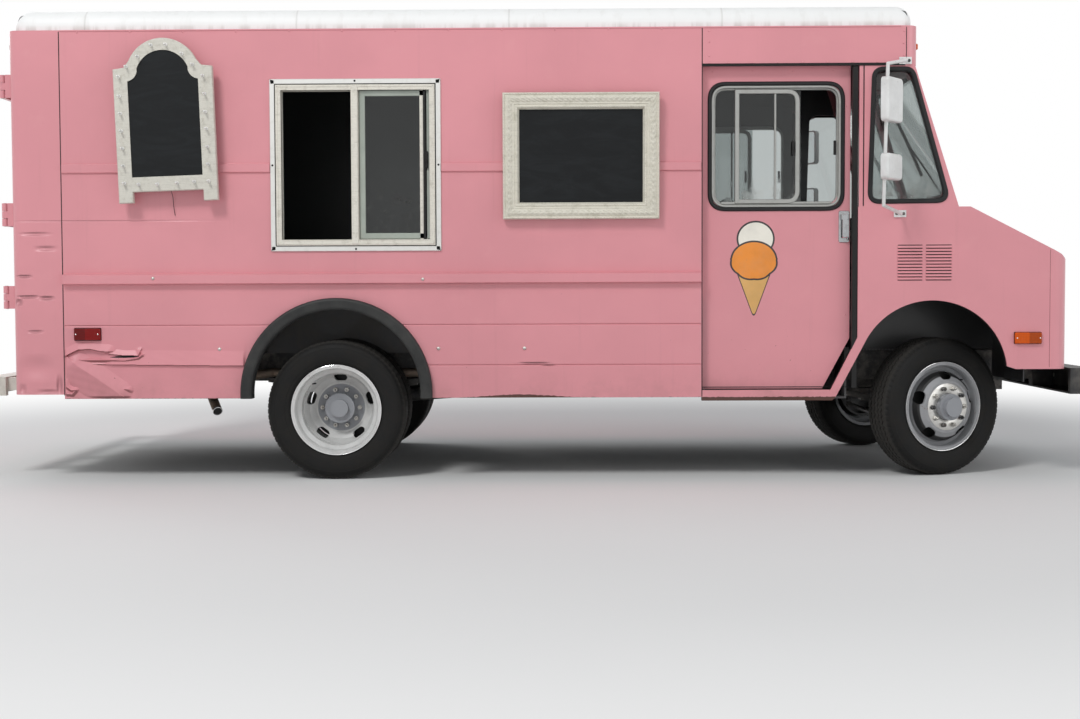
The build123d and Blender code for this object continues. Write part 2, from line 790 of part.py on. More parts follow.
# Serving window: screwed flange, inner slider frame with a mullion, and the sliding sash
SLIDER_X0 = -1462
SLIDER_X1 = -547
SLIDER_Z0 = 1362
SLIDER_Z1 = 2281
SLIDER_FRAME = 32
MULLION_X = (-1030, -985)
SASH_STILE_X = (-635, -595)
with BuildPart() as serving_window:
    with BuildSketch(Plane.XZ.offset(HALF_WIDTH)):
        with Locations(((WINDOW_X0 + WINDOW_X1) / 2, (WINDOW_Z0 + WINDOW_Z1) / 2)):
            Rectangle(WINDOW_X1 - WINDOW_X0, WINDOW_Z1 - WINDOW_Z0)
            Rectangle(SLIDER_X1 - SLIDER_X0, SLIDER_Z1 - SLIDER_Z0, mode=Mode.SUBTRACT)
    extrude(amount=9)
    slider_ring = polygon_xz(
        [(SLIDER_X0, SLIDER_Z0), (SLIDER_X0, SLIDER_Z1), (SLIDER_X1, SLIDER_Z1), (SLIDER_X1, SLIDER_Z0)]
    )
    right_plate(slider_ring, WALL_IN - 10, HALF_WIDTH + 14)
    block(
        SLIDER_X0 + SLIDER_FRAME,
        SLIDER_X1 - SLIDER_FRAME,
        -HALF_WIDTH - 20,
        -WALL_IN + 20,
        SLIDER_Z0 + SLIDER_FRAME,
        SLIDER_Z1 - SLIDER_FRAME,
        Mode.SUBTRACT,
    )
    for x0, x1 in (MULLION_X, SASH_STILE_X):
        block(x0, x1, -HALF_WIDTH + 4, -WALL_IN - 8, SLIDER_Z0 + 20, SLIDER_Z1 - 20)
save("serving_window", serving_window)

# Fixed glass: two windshield panes, the quarter windows and the panes of the serving window
GLASS = 6
with BuildPart() as fixed_glass:
    pane_z0 = 1642
    pane_z1 = 2332
    pane_outline = polygon_xz(
        [
            (screen_x(pane_z0) - 20, pane_z0),
            (screen_x(pane_z0) - 20 + GLASS, pane_z0),
            (screen_x(pane_z1) - 20 + GLASS, pane_z1),
            (screen_x(pane_z1) - 20, pane_z1),
        ]
    )
    both_plates(pane_outline, SCREEN_POST, SCREEN_HALF)
    with BuildSketch(Plane.YZ.offset(PILLAR_TOP_X - 100)):
        for side in (-1, 1):
            with Locations((side * (SCREEN_POST + SCREEN_HALF) / 2, (pane_z0 + pane_z1) / 2)):
                RectangleRounded(SCREEN_HALF - SCREEN_POST, pane_z1 - pane_z0, 70)
    extrude(amount=PILLAR_FOOT_X - PILLAR_TOP_X + 150, mode=Mode.INTERSECT)
    both_plates(rounded_xz(QUARTER_HOLE, 60), HALF_WIDTH - 26, HALF_WIDTH - 20)
    glass_z0 = SLIDER_Z0 + SLIDER_FRAME
    glass_z1 = SLIDER_Z1 - SLIDER_FRAME
    block(MULLION_X[1], SASH_STILE_X[0], -1138, -1132, glass_z0, glass_z1)
    block(SASH_STILE_X[1], SLIDER_X1 - SLIDER_FRAME, -1138, -1132, glass_z0, glass_z1)
save("fixed_glass", fixed_glass)


# Sliding doors with a rounded window, a recess panel edge and a lever handle
DOOR_HOLE = (1030, 1780, 1580, 2280)
DOOR_HOLE_RADIUS = 95
HANDLE_X = (1778, 1838)
HANDLE_Z = (1370, 1550)
with BuildPart() as right_door:
    door_outline = polygon_xz(
        [
            (DOOR_REAR_X, DOOR_LOW_Z),
            (1687, DOOR_LOW_Z),
            (DOOR_FRONT_X, 816),
            (DOOR_FRONT_X, DOOR_TOP_Z),
            (DOOR_REAR_X, DOOR_TOP_Z),
        ]
    )
    right_plate(door_outline, DOOR_IN, DOOR_OUT)
    hole_x0, hole_x1, hole_z0, hole_z1 = DOOR_HOLE
    with BuildSketch(Plane.XZ.offset(DOOR_IN - 5)):
        with Locations(((hole_x0 + hole_x1) / 2, (hole_z0 + hole_z1) / 2)):
            RectangleRounded(hole_x1 - hole_x0, hole_z1 - hole_z0, DOOR_HOLE_RADIUS)
    extrude(amount=DOOR_THICK + 10, mode=Mode.SUBTRACT)
    block(HANDLE_X[0], HANDLE_X[1], -DOOR_OUT - 4, -DOOR_OUT, HANDLE_Z[0], HANDLE_Z[1])
    block(1790, 1826, -DOOR_OUT - 34, -DOOR_OUT, 1500, 1530)
    block(1796, 1820, -DOOR_OUT - 36, -DOOR_OUT - 22, 1395, 1530)
save("right_door", right_door)

with BuildPart() as left_door:
    add(mirror(right_door.part, about=Plane.XZ))
save("left_door", left_door)

with BuildPart() as right_door_glass:
    with BuildSketch(Plane.XZ.offset(DOOR_IN + 12)):
        with Locations(((hole_x0 + hole_x1) / 2, (hole_z0 + hole_z1) / 2)):
            RectangleRounded(hole_x1 - hole_x0, hole_z1 - hole_z0, DOOR_HOLE_RADIUS)
    extrude(amount=GLASS)
    block(1560, 1780, -DOOR_IN - 30, -DOOR_IN, 1575, 2285, Mode.SUBTRACT)
save("right_door_glass", right_door_glass)

with BuildPart() as left_door_glass:
    add(mirror(right_door_glass.part, about=Plane.XZ))
save("left_door_glass", left_door_glass)


# Rims: a barrel with two flanges, a dished disc with five oval hand holes and a ten-stud
# hub ring, drawn with the wheel axis along X and the disc towards +X
HUB_RADIUS = 78
STUD_CIRCLE = 111
HAND_HOLE_CIRCLE = 183


def ring(x0, x1, inner, outer):
    """Add a round ring about the X axis, or a disc where the inner radius is 0."""
    with BuildSketch(Plane.YZ.offset(x0), mode=Mode.PRIVATE) as section:
        Circle(outer)
        if inner > 0:
            Circle(inner, mode=Mode.SUBTRACT)
    extrude(section.sketch, amount=x1 - x0, dir=(1, 0, 0))


def rim_solid():
    """One disc wheel with its middle plane at x = 0."""
    with BuildPart(mode=Mode.PRIVATE) as rim:
        with BuildSketch(Plane.XY):
            with BuildLine():
                Polyline(
                    (-RIM_HALF, RIM_FLANGE_RADIUS),
                    (-RIM_HALF + 8, RIM_FLANGE_RADIUS),
                    (-RIM_HALF + 12, RIM_RADIUS - 1),
                    (-40, RIM_RADIUS - 4),
                    (-25, 222),
                    (25, 222),
                    (40, RIM_RADIUS - 4),
                    (RIM_HALF - 12, RIM_RADIUS - 1),
                    (RIM_HALF - 8, RIM_FLANGE_RADIUS),
                    (RIM_HALF, RIM_FLANGE_RADIUS),
                    (RIM_HALF, RIM_RADIUS - 4),
                    (RIM_HALF - 14, RIM_RADIUS - 10),
                    (46, RIM_RADIUS - 12),
                    (30, 214),
                    (-30, 214),
                    (-46, RIM_RADIUS - 12),
                    (-RIM_HALF + 14, RIM_RADIUS - 10),
                    (-RIM_HALF, RIM_RADIUS - 4),
                    close=True,
                )
            make_face()
            with BuildLine():
                Polyline(
                    (36, 230),
                    (36, 210),
                    (98, 186),
                    (DISC_OFFSET - 10, 150),
                    (DISC_OFFSET - 10, HUB_RADIUS),
                    (DISC_OFFSET, HUB_RADIUS),
                    (DISC_OFFSET, 154),
                    (106, 192),
                    (52, 215),
                    (46, 240),
                    close=True,
                )
            make_face()
        revolve(axis=Axis.X)
        with BuildSketch(Plane.YZ.offset(60)):
            with PolarLocations(HAND_HOLE_CIRCLE, 5, start_angle=90):
                SlotOverall(78, 46, rotation=90)
        extrude(amount=80, mode=Mode.SUBTRACT)
    return rim.part


def tyre_solid():
    """One road tyre, closed between its beads, with its middle plane at x = 0."""
    half = TYRE_WIDTH / 2
    with BuildPart(mode=Mode.PRIVATE) as tyre:
        with BuildSketch(Plane.XY):
            with BuildLine():
                Polyline(
                    (-RIM_HALF + 16, RIM_RADIUS + 0.5),
                    (RIM_HALF - 16, RIM_RADIUS + 0.5),
                    (RIM_HALF - 10, RIM_FLANGE_RADIUS + 3),
                )
                ThreePointArc(
                    (RIM_HALF - 10, RIM_FLANGE_RADIUS + 3),
                    (half, 330),
                    (half - 18, TYRE_RADIUS - 16),
                )
                Polyline(
                    (half - 18, TYRE_RADIUS - 16),
                    (half - 34, TYRE_RADIUS - 2),
                    (0, TYRE_RADIUS),
                    (-half + 34, TYRE_RADIUS - 2),
                    (-half + 18, TYRE_RADIUS - 16),
                )
                ThreePointArc(
                    (-half + 18, TYRE_RADIUS - 16),
                    (-half, 330),
                    (-RIM_HALF + 10, RIM_FLANGE_RADIUS + 3),
                )
                Line((-RIM_HALF + 10, RIM_FLANGE_RADIUS + 3), (-RIM_HALF + 16, RIM_RADIUS + 0.5))
            make_face()
        revolve(axis=Axis.X)
    return tyre.part


def hub_solid():
    """Front hub with its ring of ten studs and brake drum, on the wheel axis."""
    with BuildPart(mode=Mode.PRIVATE) as hub:
        ring(-66, DISC_OFFSET - 10, 32, 68)
        ring(DISC_OFFSET - 10, DISC_OFFSET + 38, 32, HUB_RADIUS)
        ring(DISC_OFFSET + 38, DISC_OFFSET + 66, 0, 56)
        ring(DISC_OFFSET - 14, DISC_OFFSET - 10, HUB_RADIUS - 12, 140)
        ring(-60, 45, 182, 196)
        ring(37, 45, 60, 190)
        with BuildSketch(Plane.YZ.offset(DISC_OFFSET - 2)):
            with PolarLocations(STUD_CIRCLE, 10):
                RegularPolygon(13, 6)
        extrude(amount=26)
    return hub.part


def axle_hub_solid():
    """Rear hub: drum, mounting flange between the twin discs and the shaft flange outside."""
    with BuildPart(mode=Mode.PRIVATE) as hub:
        ring(-60, 45, 182, 196)
        ring(37, 45, 60, 190)
        ring(-76, DISC_OFFSET - 10, 58, 72)
        ring(DISC_OFFSET - 14, DISC_OFFSET - 10, 66, 140)
        ring(DISC_OFFSET - 14, DISC_OFFSET + 70, 58, HUB_RADIUS - 2)
        ring(DISC_OFFSET + 70, DISC_OFFSET + 84, 0, 88)
        ring(DISC_OFFSET + 84, DISC_OFFSET + 108, 0, 52)
        with BuildSketch(Plane.YZ.offset(DISC_OFFSET + 8)):
            with PolarLocations(STUD_CIRCLE, 10):
                RegularPolygon(13, 6)
        extrude(amount=26)
    return hub.part


WHEEL_DISC = rim_solid()
TYRE = tyre_solid()


def steered_place(side):
    """Place of a front wheel at rest, with local +X pointing out along its axle."""
    turn = Location((FRONT_AXLE_X, side * KINGPIN_Y, TYRE_RADIUS), (0, 0, STEER_AT_REST))
    return turn * Location((0, side * (FRONT_TRACK_Y - KINGPIN_Y), 0), (0, 0, side * 90))


def rear_place(side, y, outward):
    """Place of a rear wheel, with its disc towards the outside or turned inwards."""
    return Location((REAR_AXLE_X, side * y, TYRE_RADIUS), (0, 0, side * 90 * outward))


SIDES = [("right", -1), ("left", 1)]
for name, side in SIDES:
    with BuildPart() as front_tyre:
        add(steered_place(side) * TYRE)
    save(f"{name}_front_tyre", front_tyre)

    with BuildPart() as front_rim:
        add(steered_place(side) * WHEEL_DISC)
        add(steered_place(side) * hub_solid())
    save(f"{name}_front_rim", front_rim)

    with BuildPart() as rear_tyres:
        add(rear_place(side, TWIN_OUTER_Y, -1) * TYRE)
        add(rear_place(side, TWIN_INNER_Y, 1) * TYRE)
    save(f"{name}_rear_tyres", rear_tyres)

    with BuildPart() as rear_rims:
        add(rear_place(side, TWIN_OUTER_Y, -1) * WHEEL_DISC)
        add(rear_place(side, TWIN_INNER_Y, 1) * WHEEL_DISC)
        add(rear_place(side, TWIN_INNER_Y, 1) * axle_hub_solid())
    save(f"{name}_rear_rims", rear_rims)


# Steering knuckles: kingpin, fork round the axle eye, spindle, backing plate and steering arm
EYE_Z0 = 360
EYE_Z1 = 452
KINGPIN_RADIUS = 15
FORK_RADIUS = 34
BACKING_RADIUS = 78
SPINDLE_RADIUS = 30
SPINDLE_LONG = 240
BALL_RADIUS = 20
for name, side in SIDES:
    with BuildPart(mode=Mode.PRIVATE) as straight:
        with Locations((0, 0, (EYE_Z0 + EYE_Z1) / 2)):
            Cylinder(KINGPIN_RADIUS, EYE_Z1 - EYE_Z0 + 90)
        for low, high in ((EYE_Z0 - 40, EYE_Z0 - 5), (EYE_Z1 + 5, EYE_Z1 + 40)):
            with Locations((0, 0, (low + high) / 2)):
                Cylinder(FORK_RADIUS, high - low)
            block(-FORK_RADIUS, FORK_RADIUS, min(0, side * 70), max(0, side * 70), low, high)
        with BuildSketch(Plane.XZ.offset(-side * 50)):
            with Locations((0, TYRE_RADIUS)):
                Circle(BACKING_RADIUS)
        extrude(amount=-side * 20)
        with BuildSketch(Plane.XZ.offset(-side * 50)):
            with Locations((0, TYRE_RADIUS)):
                Circle(SPINDLE_RADIUS)
        extrude(amount=-side * SPINDLE_LONG)
        block(-STEER_ARM, 0, -14, 14, STEER_ARM_Z - 12, STEER_ARM_Z + 12)
        with Locations((-STEER_ARM, 0, STEER_ARM_Z)):
            Cylinder(BALL_RADIUS, 24)
    with BuildPart() as knuckle:
        add(Location((FRONT_AXLE_X, side * KINGPIN_Y, 0), (0, 0, STEER_AT_REST)) * straight.part)
    save(f"{name}_knuckle", knuckle)


def arm_end(side):
    """Centre of a steering arm's ball at rest."""
    return (
        FRONT_AXLE_X - STEER_ARM * cos(radians(STEER_AT_REST)),
        side * KINGPIN_Y - STEER_ARM * sin(radians(STEER_AT_REST)),
    )


# Tie rod: a straight bar with an eye under each steering arm
TIE_ROD_Z = STEER_ARM_Z - 38
with BuildPart() as tie_rod:
    right_end = arm_end(-1)
    left_end = arm_end(1)
    tube_between((right_end[0], right_end[1], TIE_ROD_Z), (left_end[0], left_end[1], TIE_ROD_Z), 15)
    for end in (right_end, left_end):
        with Locations((end[0], end[1], TIE_ROD_Z)):
            Cylinder(22, 34)
save("tie_rod", tie_rod)


# Front axle: a dropped beam with an eye at each kingpin and pads under the springs
FRONT_SPRING_Y = 397
EYE_MID_Z = (EYE_Z0 + EYE_Z1) / 2
with BuildPart() as front_axle:
    beam_outline = [
        (-KINGPIN_Y, EYE_Z0 + 12),
        (-KINGPIN_Y, EYE_Z1 - 12),
        (-600, EYE_Z1 - 15),
        (-520, 370),
        (520, 370),
        (600, EYE_Z1 - 15),
        (KINGPIN_Y, EYE_Z1 - 12),
        (KINGPIN_Y, EYE_Z0 + 12),
        (600, 345),
        (540, 290),
        (-540, 290),
        (-600, 345),
    ]
    with BuildSketch(Plane.YZ.offset(FRONT_AXLE_X - 32)):
        with BuildLine():
            Polyline(*beam_outline, close=True)
        make_face()
    extrude(amount=64)
    for face in (-1, 1):
        x0, x1 = sorted((FRONT_AXLE_X + face * 12, FRONT_AXLE_X + face * 40))
        block(x0, x1, -515, 515, 305, 355, Mode.SUBTRACT)
    for side in (-1, 1):
        with Locations((FRONT_AXLE_X, side * KINGPIN_Y, EYE_MID_Z)):
            Cylinder(36, EYE_Z1 - EYE_Z0)
        with Locations((FRONT_AXLE_X, side * KINGPIN_Y, EYE_MID_Z)):
            Cylinder(KINGPIN_RADIUS + 1, EYE_Z1 - EYE_Z0 + 4, mode=Mode.SUBTRACT)
        block(
            FRONT_AXLE_X - 75,
            FRONT_AXLE_X + 75,
            side * FRONT_SPRING_Y - 40,
            side * FRONT_SPRING_Y + 40,
            362,
            378,
        )
save("front_axle", front_axle)


# Rear axle: tube, round differential housing, pinion nose, backing plates and stub ends
REAR_SPRING_Y = 485
with BuildPart() as rear_axle:
    with BuildSketch(Plane.XZ.offset(-790)):
        with Locations((REAR_AXLE_X, TYRE_RADIUS)):
            Circle(52)
    extrude(amount=1580)
    with BuildSketch(Plane.XZ.offset(-95)):
        with Locations((REAR_AXLE_X, TYRE_RADIUS)):
            Circle(165)
    extrude(amount=190)
    fillet(rear_axle.edges().filter_by(GeomType.CIRCLE).group_by(SortBy.RADIUS)[-1], radius=60)
    with BuildSketch(Plane.YZ.offset(REAR_AXLE_X + 100)):
        with Locations((0, TYRE_RADIUS + 10)):
            Circle(70)
    extrude(amount=180)
    for side in (-1, 1):
        with BuildSketch(Plane.XZ.offset(-side * 632)):
            with Locations((REAR_AXLE_X, TYRE_RADIUS)):
                Circle(192)
        extrude(amount=-side * 10)
        block(
            REAR_AXLE_X - 85,
            REAR_AXLE_X + 85,
            side * REAR_SPRING_Y - 42,
            side * REAR_SPRING_Y + 42,
            TYRE_RADIUS + 30,
            TYRE_RADIUS + 66,
        )
save("rear_axle", rear_axle)


# Leaf springs: one pack of curved leaves over each end of both axles
SPRING_PACKS = [
    # middle x, y, height of the pack's underside, half length, rise at the ends, leaves
    (REAR_AXLE_X, REAR_SPRING_Y, TYRE_RADIUS + 66, 670, 62, 6),
    (FRONT_AXLE_X, FRONT_SPRING_Y, 378, 550, 77, 5),
]
LEAF_THICK = 10
LEAF_HALF_WIDTH = 35


def leaf_outline(middle_x, base_z, half, main_half, rise, level):
    """Side outline of one leaf, bent to the curve of the main leaf."""
    low = base_z + level * LEAF_THICK
    lift = rise * (half / main_half) ** 2
    with BuildSketch(Plane.XZ, mode=Mode.PRIVATE) as outline:
        with BuildLine():
            left = (middle_x - half, low + lift)
            right = (middle_x + half, low + lift)
            ThreePointArc(left, (middle_x, low), right)
            Line(right, (right[0], right[1] + LEAF_THICK))
            ThreePointArc(
                (right[0], right[1] + LEAF_THICK),
                (middle_x, low + LEAF_THICK),
                (left[0], left[1] + LEAF_THICK),
            )
            Line((left[0], left[1] + LEAF_THICK), left)
        make_face()
    return outline.sketch


with BuildPart() as leaf_springs:
    for middle_x, spring_y, base_z, main_half, rise, leaves in SPRING_PACKS:
        for level in range(leaves):
            half = main_half * (1 - 0.62 * (leaves - 1 - level) / (leaves - 1))
            leaf = leaf_outline(middle_x, base_z, half, main_half, rise, level)
            both_plates(leaf, spring_y - LEAF_HALF_WIDTH, spring_y + LEAF_HALF_WIDTH)
        for clamp in (-60, 60):
            top = base_z + leaves * LEAF_THICK + 14
            twin_blocks(
                middle_x + clamp - 8, middle_x + clamp + 8, spring_y - 40, spring_y + 40, base_z, top
            )
        eye_z = base_z + rise + (leaves - 0.5) * LEAF_THICK
        for end in (-1, 1):
            both_plates(disc_xz(middle_x + end * main_half, eye_z, 18), spring_y - 35, spring_y + 35)
save("leaf_springs", leaf_springs)


# Drive line: engine block, radiator core, gearbox and the shaft to the rear axle
with BuildPart() as drive_line:
    block(1960, 2580, -250, 250, 480, 1060)
    block(2980, 3040, -360, 360, 745, 1200)
    with BuildSketch(Plane.YZ.offset(1960)):
        with Locations((0, 590)):
            Circle(190)
    with BuildSketch(Plane.YZ.offset(1380)):
        with Locations((0, 580)):
            Circle(90)
    loft()
    tube_between((1385, 0, 580), (REAR_AXLE_X + 284, 0, TYRE_RADIUS + 12), 42)
save("drive_line", drive_line)


# Exhaust: pipe under the right rail, a round silencer, and a tail end behind the rear wheels
EXHAUST_ROUTE = [
    (1900, -240, 500),
    (1560, -330, 500),
    (1200, -564, 500),
    (900, -564, 590),
    (-1600, -564, 600),
    (-1900, -640, 560),
    (-1951, -800, 520),
    (-1850, -1010, 395),
]
PIPE_RADIUS = 28
with BuildPart() as exhaust:
    for start, end in zip(EXHAUST_ROUTE, EXHAUST_ROUTE[1:]):
        tube_between(start, end, PIPE_RADIUS)
    for corner in EXHAUST_ROUTE[1:-1]:
        with Locations(corner):
            Sphere(PIPE_RADIUS)
    tube_between((620, -564, 592), (20, -564, 594), 95)
save("exhaust", exhaust)


# Fuel tank, slung outside the left rail on two straps
with BuildPart() as fuel_tank:
    block(-350, 600, 480, 980, 400, 690)
    fillet(fuel_tank.edges().filter_by(Axis.X), radius=45)
    for strap_x in (-150, 400):
        block(strap_x - 20, strap_x + 20, 475, 985, 396, 694)
        block(strap_x - 20, strap_x + 20, RAIL_HALF, 480, 640, 690)
save("fuel_tank", fuel_tank)


# Bumpers: a dark channel with rounded ends and two plate holes at the front,
# a pale step on arms with four hitch holes at the rear
PLATE_HOLE_PITCH = 178
PLATE_HOLE_RADIUS = 3.5
HITCH_HOLE_Y = 120
HITCH_HOLE_Z = 56
HITCH_HOLE_RADIUS = 6.75
with BuildPart() as front_bumper:
    with BuildSketch(Plane.XY.offset(490)):
        with Locations(((3110 + BUMPER_X) / 2, 0)):
            Rectangle(BUMPER_X - 3110, 2 * 1130)
    extrude(amount=150)
    fillet(front_bumper.edges().filter_by(Axis.Z).group_by(Axis.X)[-1], radius=70)
    block(3100, BUMPER_X - 10, -1095, 1095, 500, 630, Mode.SUBTRACT)
    twin_blocks(3110, BUMPER_X - 5, RAIL_HALF - RAIL_WIDTH, RAIL_HALF, 495, 635)
    with BuildSketch(Plane.YZ.offset(BUMPER_X - 20)):
        with Locations((0, 565)):
            with GridLocations(PLATE_HOLE_PITCH, 0, 2, 1):
                Circle(PLATE_HOLE_RADIUS)
    extrude(amount=30, mode=Mode.SUBTRACT)
save("front_bumper", front_bumper)

with BuildPart() as rear_bumper:
    block(-BUMPER_X, -3105, -1000, 1000, 490, 600)
    block(-BUMPER_X + 12, -3095, -960, 960, 480, 588, Mode.SUBTRACT)
    for arm_in, arm_out in ((RAIL_HALF - RAIL_WIDTH, RAIL_HALF), (900, 960)):
        twin_blocks(-BUMPER_X + 6, -2968, arm_in, arm_out, 520, 594)
    block(-3000, -2962, -960, 960, 520, 594)
    with BuildSketch(Plane.YZ.offset(-BUMPER_X - 5)):
        with Locations((0, 544)):
            with GridLocations(HITCH_HOLE_Y, HITCH_HOLE_Z, 2, 2):
                Circle(HITCH_HOLE_RADIUS)
    extrude(amount=30, mode=Mode.SUBTRACT)
save("rear_bumper", rear_bumper)


# Mirrors: a bent tube from the header to the cowl carries a tall and a square head
MIRROR_TURN = 38
MIRROR_TUBE = [
    (2142, -1150, 2400),
    (2142, -1178, 2400),
    (1985, -1420, 2345),
    (1966, -1420, 1562),
    (2117, -1178, 1530),
    (2117, -1150, 1530),
]
MIRROR_HEADS = [
    # middle z, height, width, depth
    (2147, 245, 190, 46),
    (1777, 145, 185, 46),
]
with BuildPart(mode=Mode.PRIVATE) as right_mirror:
    for start, end in zip(MIRROR_TUBE, MIRROR_TUBE[1:]):
        tube_between(start, end, 10)
    for corner in MIRROR_TUBE[1:-1]:
        with Locations(corner):
            Sphere(10)
    for foot in (MIRROR_TUBE[0], MIRROR_TUBE[-1]):
        block(foot[0] - 35, foot[0] + 35, -1160, -1150, foot[2] - 20, foot[2] + 20)
for head_z, tall, wide, deep in MIRROR_HEADS:
    with BuildPart(mode=Mode.PRIVATE) as head:
        Box(deep, wide, tall)
        fillet(head.edges().filter_by(Axis.X), radius=24)
        fillet(head.faces().sort_by(Axis.X)[-1].edges(), radius=14)
    with right_mirror:
        add(Location((2014, -1404, head_z), (0, 0, -MIRROR_TURN)) * head.part)
        block(1964, 2000, -1424, -1404, head_z - 22, head_z + 22)
with BuildPart() as mirrors:
    add(right_mirror.part)
    add(mirror(right_mirror.part, about=Plane.XZ))
save("mirrors", mirrors)


# Arch flares: rubber rings round both rear arches
with BuildPart() as arch_flares:
    for side in (-1, 1):
        with BuildPart(mode=Mode.PRIVATE) as flare:
            with BuildSketch(Plane.XZ):
                with Locations((ARCH_X, ARCH_Z)):
                    Circle(FLARE_OUT)
                    Circle(FLARE_IN, mode=Mode.SUBTRACT)
            extrude(amount=44)
            fillet(flare.faces().sort_by(Axis.Y)[0].edges(), radius=18)
            with BuildSketch(Plane.XZ):
                with Locations((ARCH_X, ARCH_Z)):
                    Circle(ARCH_CUT)
                    Circle(FLARE_IN, mode=Mode.SUBTRACT)
            extrude(amount=-40)
            block(-1800, -400, -60, 60, -100, SKIRT_Z, Mode.SUBTRACT)
        place = Pos(0, -HALF_WIDTH, 0) * flare.part
        if side < 0:
            add(place)
        else:
            add(mirror(place, about=Plane.XZ))
save("arch_flares", arch_flares)


# Sign board: a shouldered frame with an arched top and two feet, hung a little askew
SIGN_FOOT = (-2062, 1612)
SIGN_TURN = -1.8
SIGN_HALF = 283
SIGN_FACE_Y = 1243
SIGN_DEPTH = 36
SIGN_RECESS = 6
SIGN_STANDOFFS = [(-170, 300), (170, 300), (-170, 700), (170, 700)]
with BuildSketch(Plane.XZ, mode=Mode.PRIVATE) as sign_outline:
    with BuildLine():
        Polyline(
            (190, 806),
            (221, 768),
            (SIGN_HALF, 760),
            (SIGN_HALF, 0),
            (202, 0),
            (202, 62),
            (-202, 62),
            (-202, 0),
            (-SIGN_HALF, 0),
            (-SIGN_HALF, 760),
            (-221, 768),
            (-190, 806),
        )
        ThreePointArc((-190, 806), (0, 928), (190, 806))
    make_face()
with BuildSketch(Plane.XZ, mode=Mode.PRIVATE) as sign_panel:
    with BuildLine():
        Polyline((146, 760), (146, 742))
        ThreePointArc((146, 742), (165, 708), (202, 690))
        Polyline((202, 690), (202, 145), (-202, 145), (-202, 690))
        ThreePointArc((-202, 690), (-165, 708), (-146, 742))
        Line((-146, 742), (-146, 760))
        ThreePointArc((-146, 760), (0, 860), (146, 760))
    make_face()
with BuildPart(mode=Mode.PRIVATE) as flat_sign:
    right_plate(sign_outline.sketch, 0, SIGN_DEPTH)
    chamfer(flat_sign.faces().sort_by(Axis.Y)[0].edges(), length=4)
    right_plate(sign_panel.sketch, SIGN_DEPTH - SIGN_RECESS, SIGN_DEPTH + 1, Mode.SUBTRACT)
    for stand_x, stand_z in SIGN_STANDOFFS:
        right_plate(disc_xz(stand_x, stand_z, 12), HALF_WIDTH - SIGN_FACE_Y + SIGN_DEPTH, 0)
with BuildPart() as sign_board:
    sign_place = Location(
        (SIGN_FOOT[0], SIGN_DEPTH - SIGN_FACE_Y, SIGN_FOOT[1]), (0, -SIGN_TURN, 0)
    )
    add(sign_place * flat_sign.part)
save("sign_board", sign_board)


# Menu board: a moulded picture frame round a plain black board, leaning out at the top
MENU_X = (-150, 739)
MENU_Z = (1506, 2223)
MENU_BORDER = 92
MENU_DEPTH = 34
MENU_LEAN = 1.6
with BuildPart(mode=Mode.PRIVATE) as flat_menu:
    menu_wide = MENU_X[1] - MENU_X[0]
    menu_tall = MENU_Z[1] - MENU_Z[0]
    with BuildSketch(Plane.XZ):
        with Locations((menu_wide / 2, menu_tall / 2)):
            Rectangle(menu_wide, menu_tall)
    extrude(amount=MENU_DEPTH)
    chamfer(flat_menu.faces().sort_by(Axis.Y)[0].edges(), length=10)
    with BuildSketch(Plane.XZ.offset(MENU_DEPTH - 18)):
        with Locations((menu_wide / 2, menu_tall / 2)):
            Rectangle(menu_wide - 2 * MENU_BORDER, menu_tall - 2 * MENU_BORDER)
    extrude(amount=20, mode=Mode.SUBTRACT)
    for hook_x in (120, menu_wide - 120):
        block(hook_x - 20, hook_x + 20, 0, 12, menu_tall - 60, menu_tall - 30)
with BuildPart() as menu_board:
    menu_place = Location((MENU_X[0], -HALF_WIDTH - 13, MENU_Z[0]), (MENU_LEAN, 0, 0))
    add(menu_place * flat_menu.part)
    block(
        MENU_X[0] + 100, MENU_X[0] + 140, -HALF_WIDTH - 35, -HALF_WIDTH, MENU_Z[1] - 62, MENU_Z[1] - 32
    )
    block(
        MENU_X[1] - 140, MENU_X[1] - 100, -HALF_WIDTH - 35, -HALF_WIDTH, MENU_Z[1] - 62, MENU_Z[1] - 32
    )
save("menu_board", menu_board)


# Dashboard: bulkhead, instrument shelf, engine cover between the seats and steering column
COLUMN_FOOT = Vector(2310, 590, 1092)
WHEEL_CENTRE = Vector(1990, 590, 1390)
COVER_HALF = 342
COVER_SHEET = 14
with BuildPart() as dashboard:
    block(BULKHEAD_X, BULKHEAD_X + 10, -1100, 1100, 1056, 1545)
    block(BULKHEAD_X, BULKHEAD_X + 10, -HOUSING_IN + 2, HOUSING_IN - 2, FLOOR_Z, 1060)
    shelf = polygon_xz(
        [(2215, 1500), (2240, 1520), (2405, 1540), (2405, 1090), (2290, 1090), (2250, 1330)]
    )
    right_plate(shelf, -1095, 1095)
    cover = polygon_xz([(1350, FLOOR_Z), (1350, 930), (1640, 1150), (2405, 1150), (2405, FLOOR_Z)])
    right_plate(cover, -COVER_HALF, COVER_HALF)
    cover_inside = polygon_xz(
        [
            (1350 + COVER_SHEET, FLOOR_Z - 1),
            (1350 + COVER_SHEET, 923),
            (1645, 1150 - COVER_SHEET),
            (2411, 1150 - COVER_SHEET),
            (2411, FLOOR_Z - 1),
        ]
    )
    right_plate(cover_inside, -COVER_HALF + COVER_SHEET, COVER_HALF - COVER_SHEET, Mode.SUBTRACT)
    column_way = (COLUMN_FOOT - WHEEL_CENTRE).normalized()
    tube_between(COLUMN_FOOT, WHEEL_CENTRE + column_way * 20, 26)
save("dashboard", dashboard)


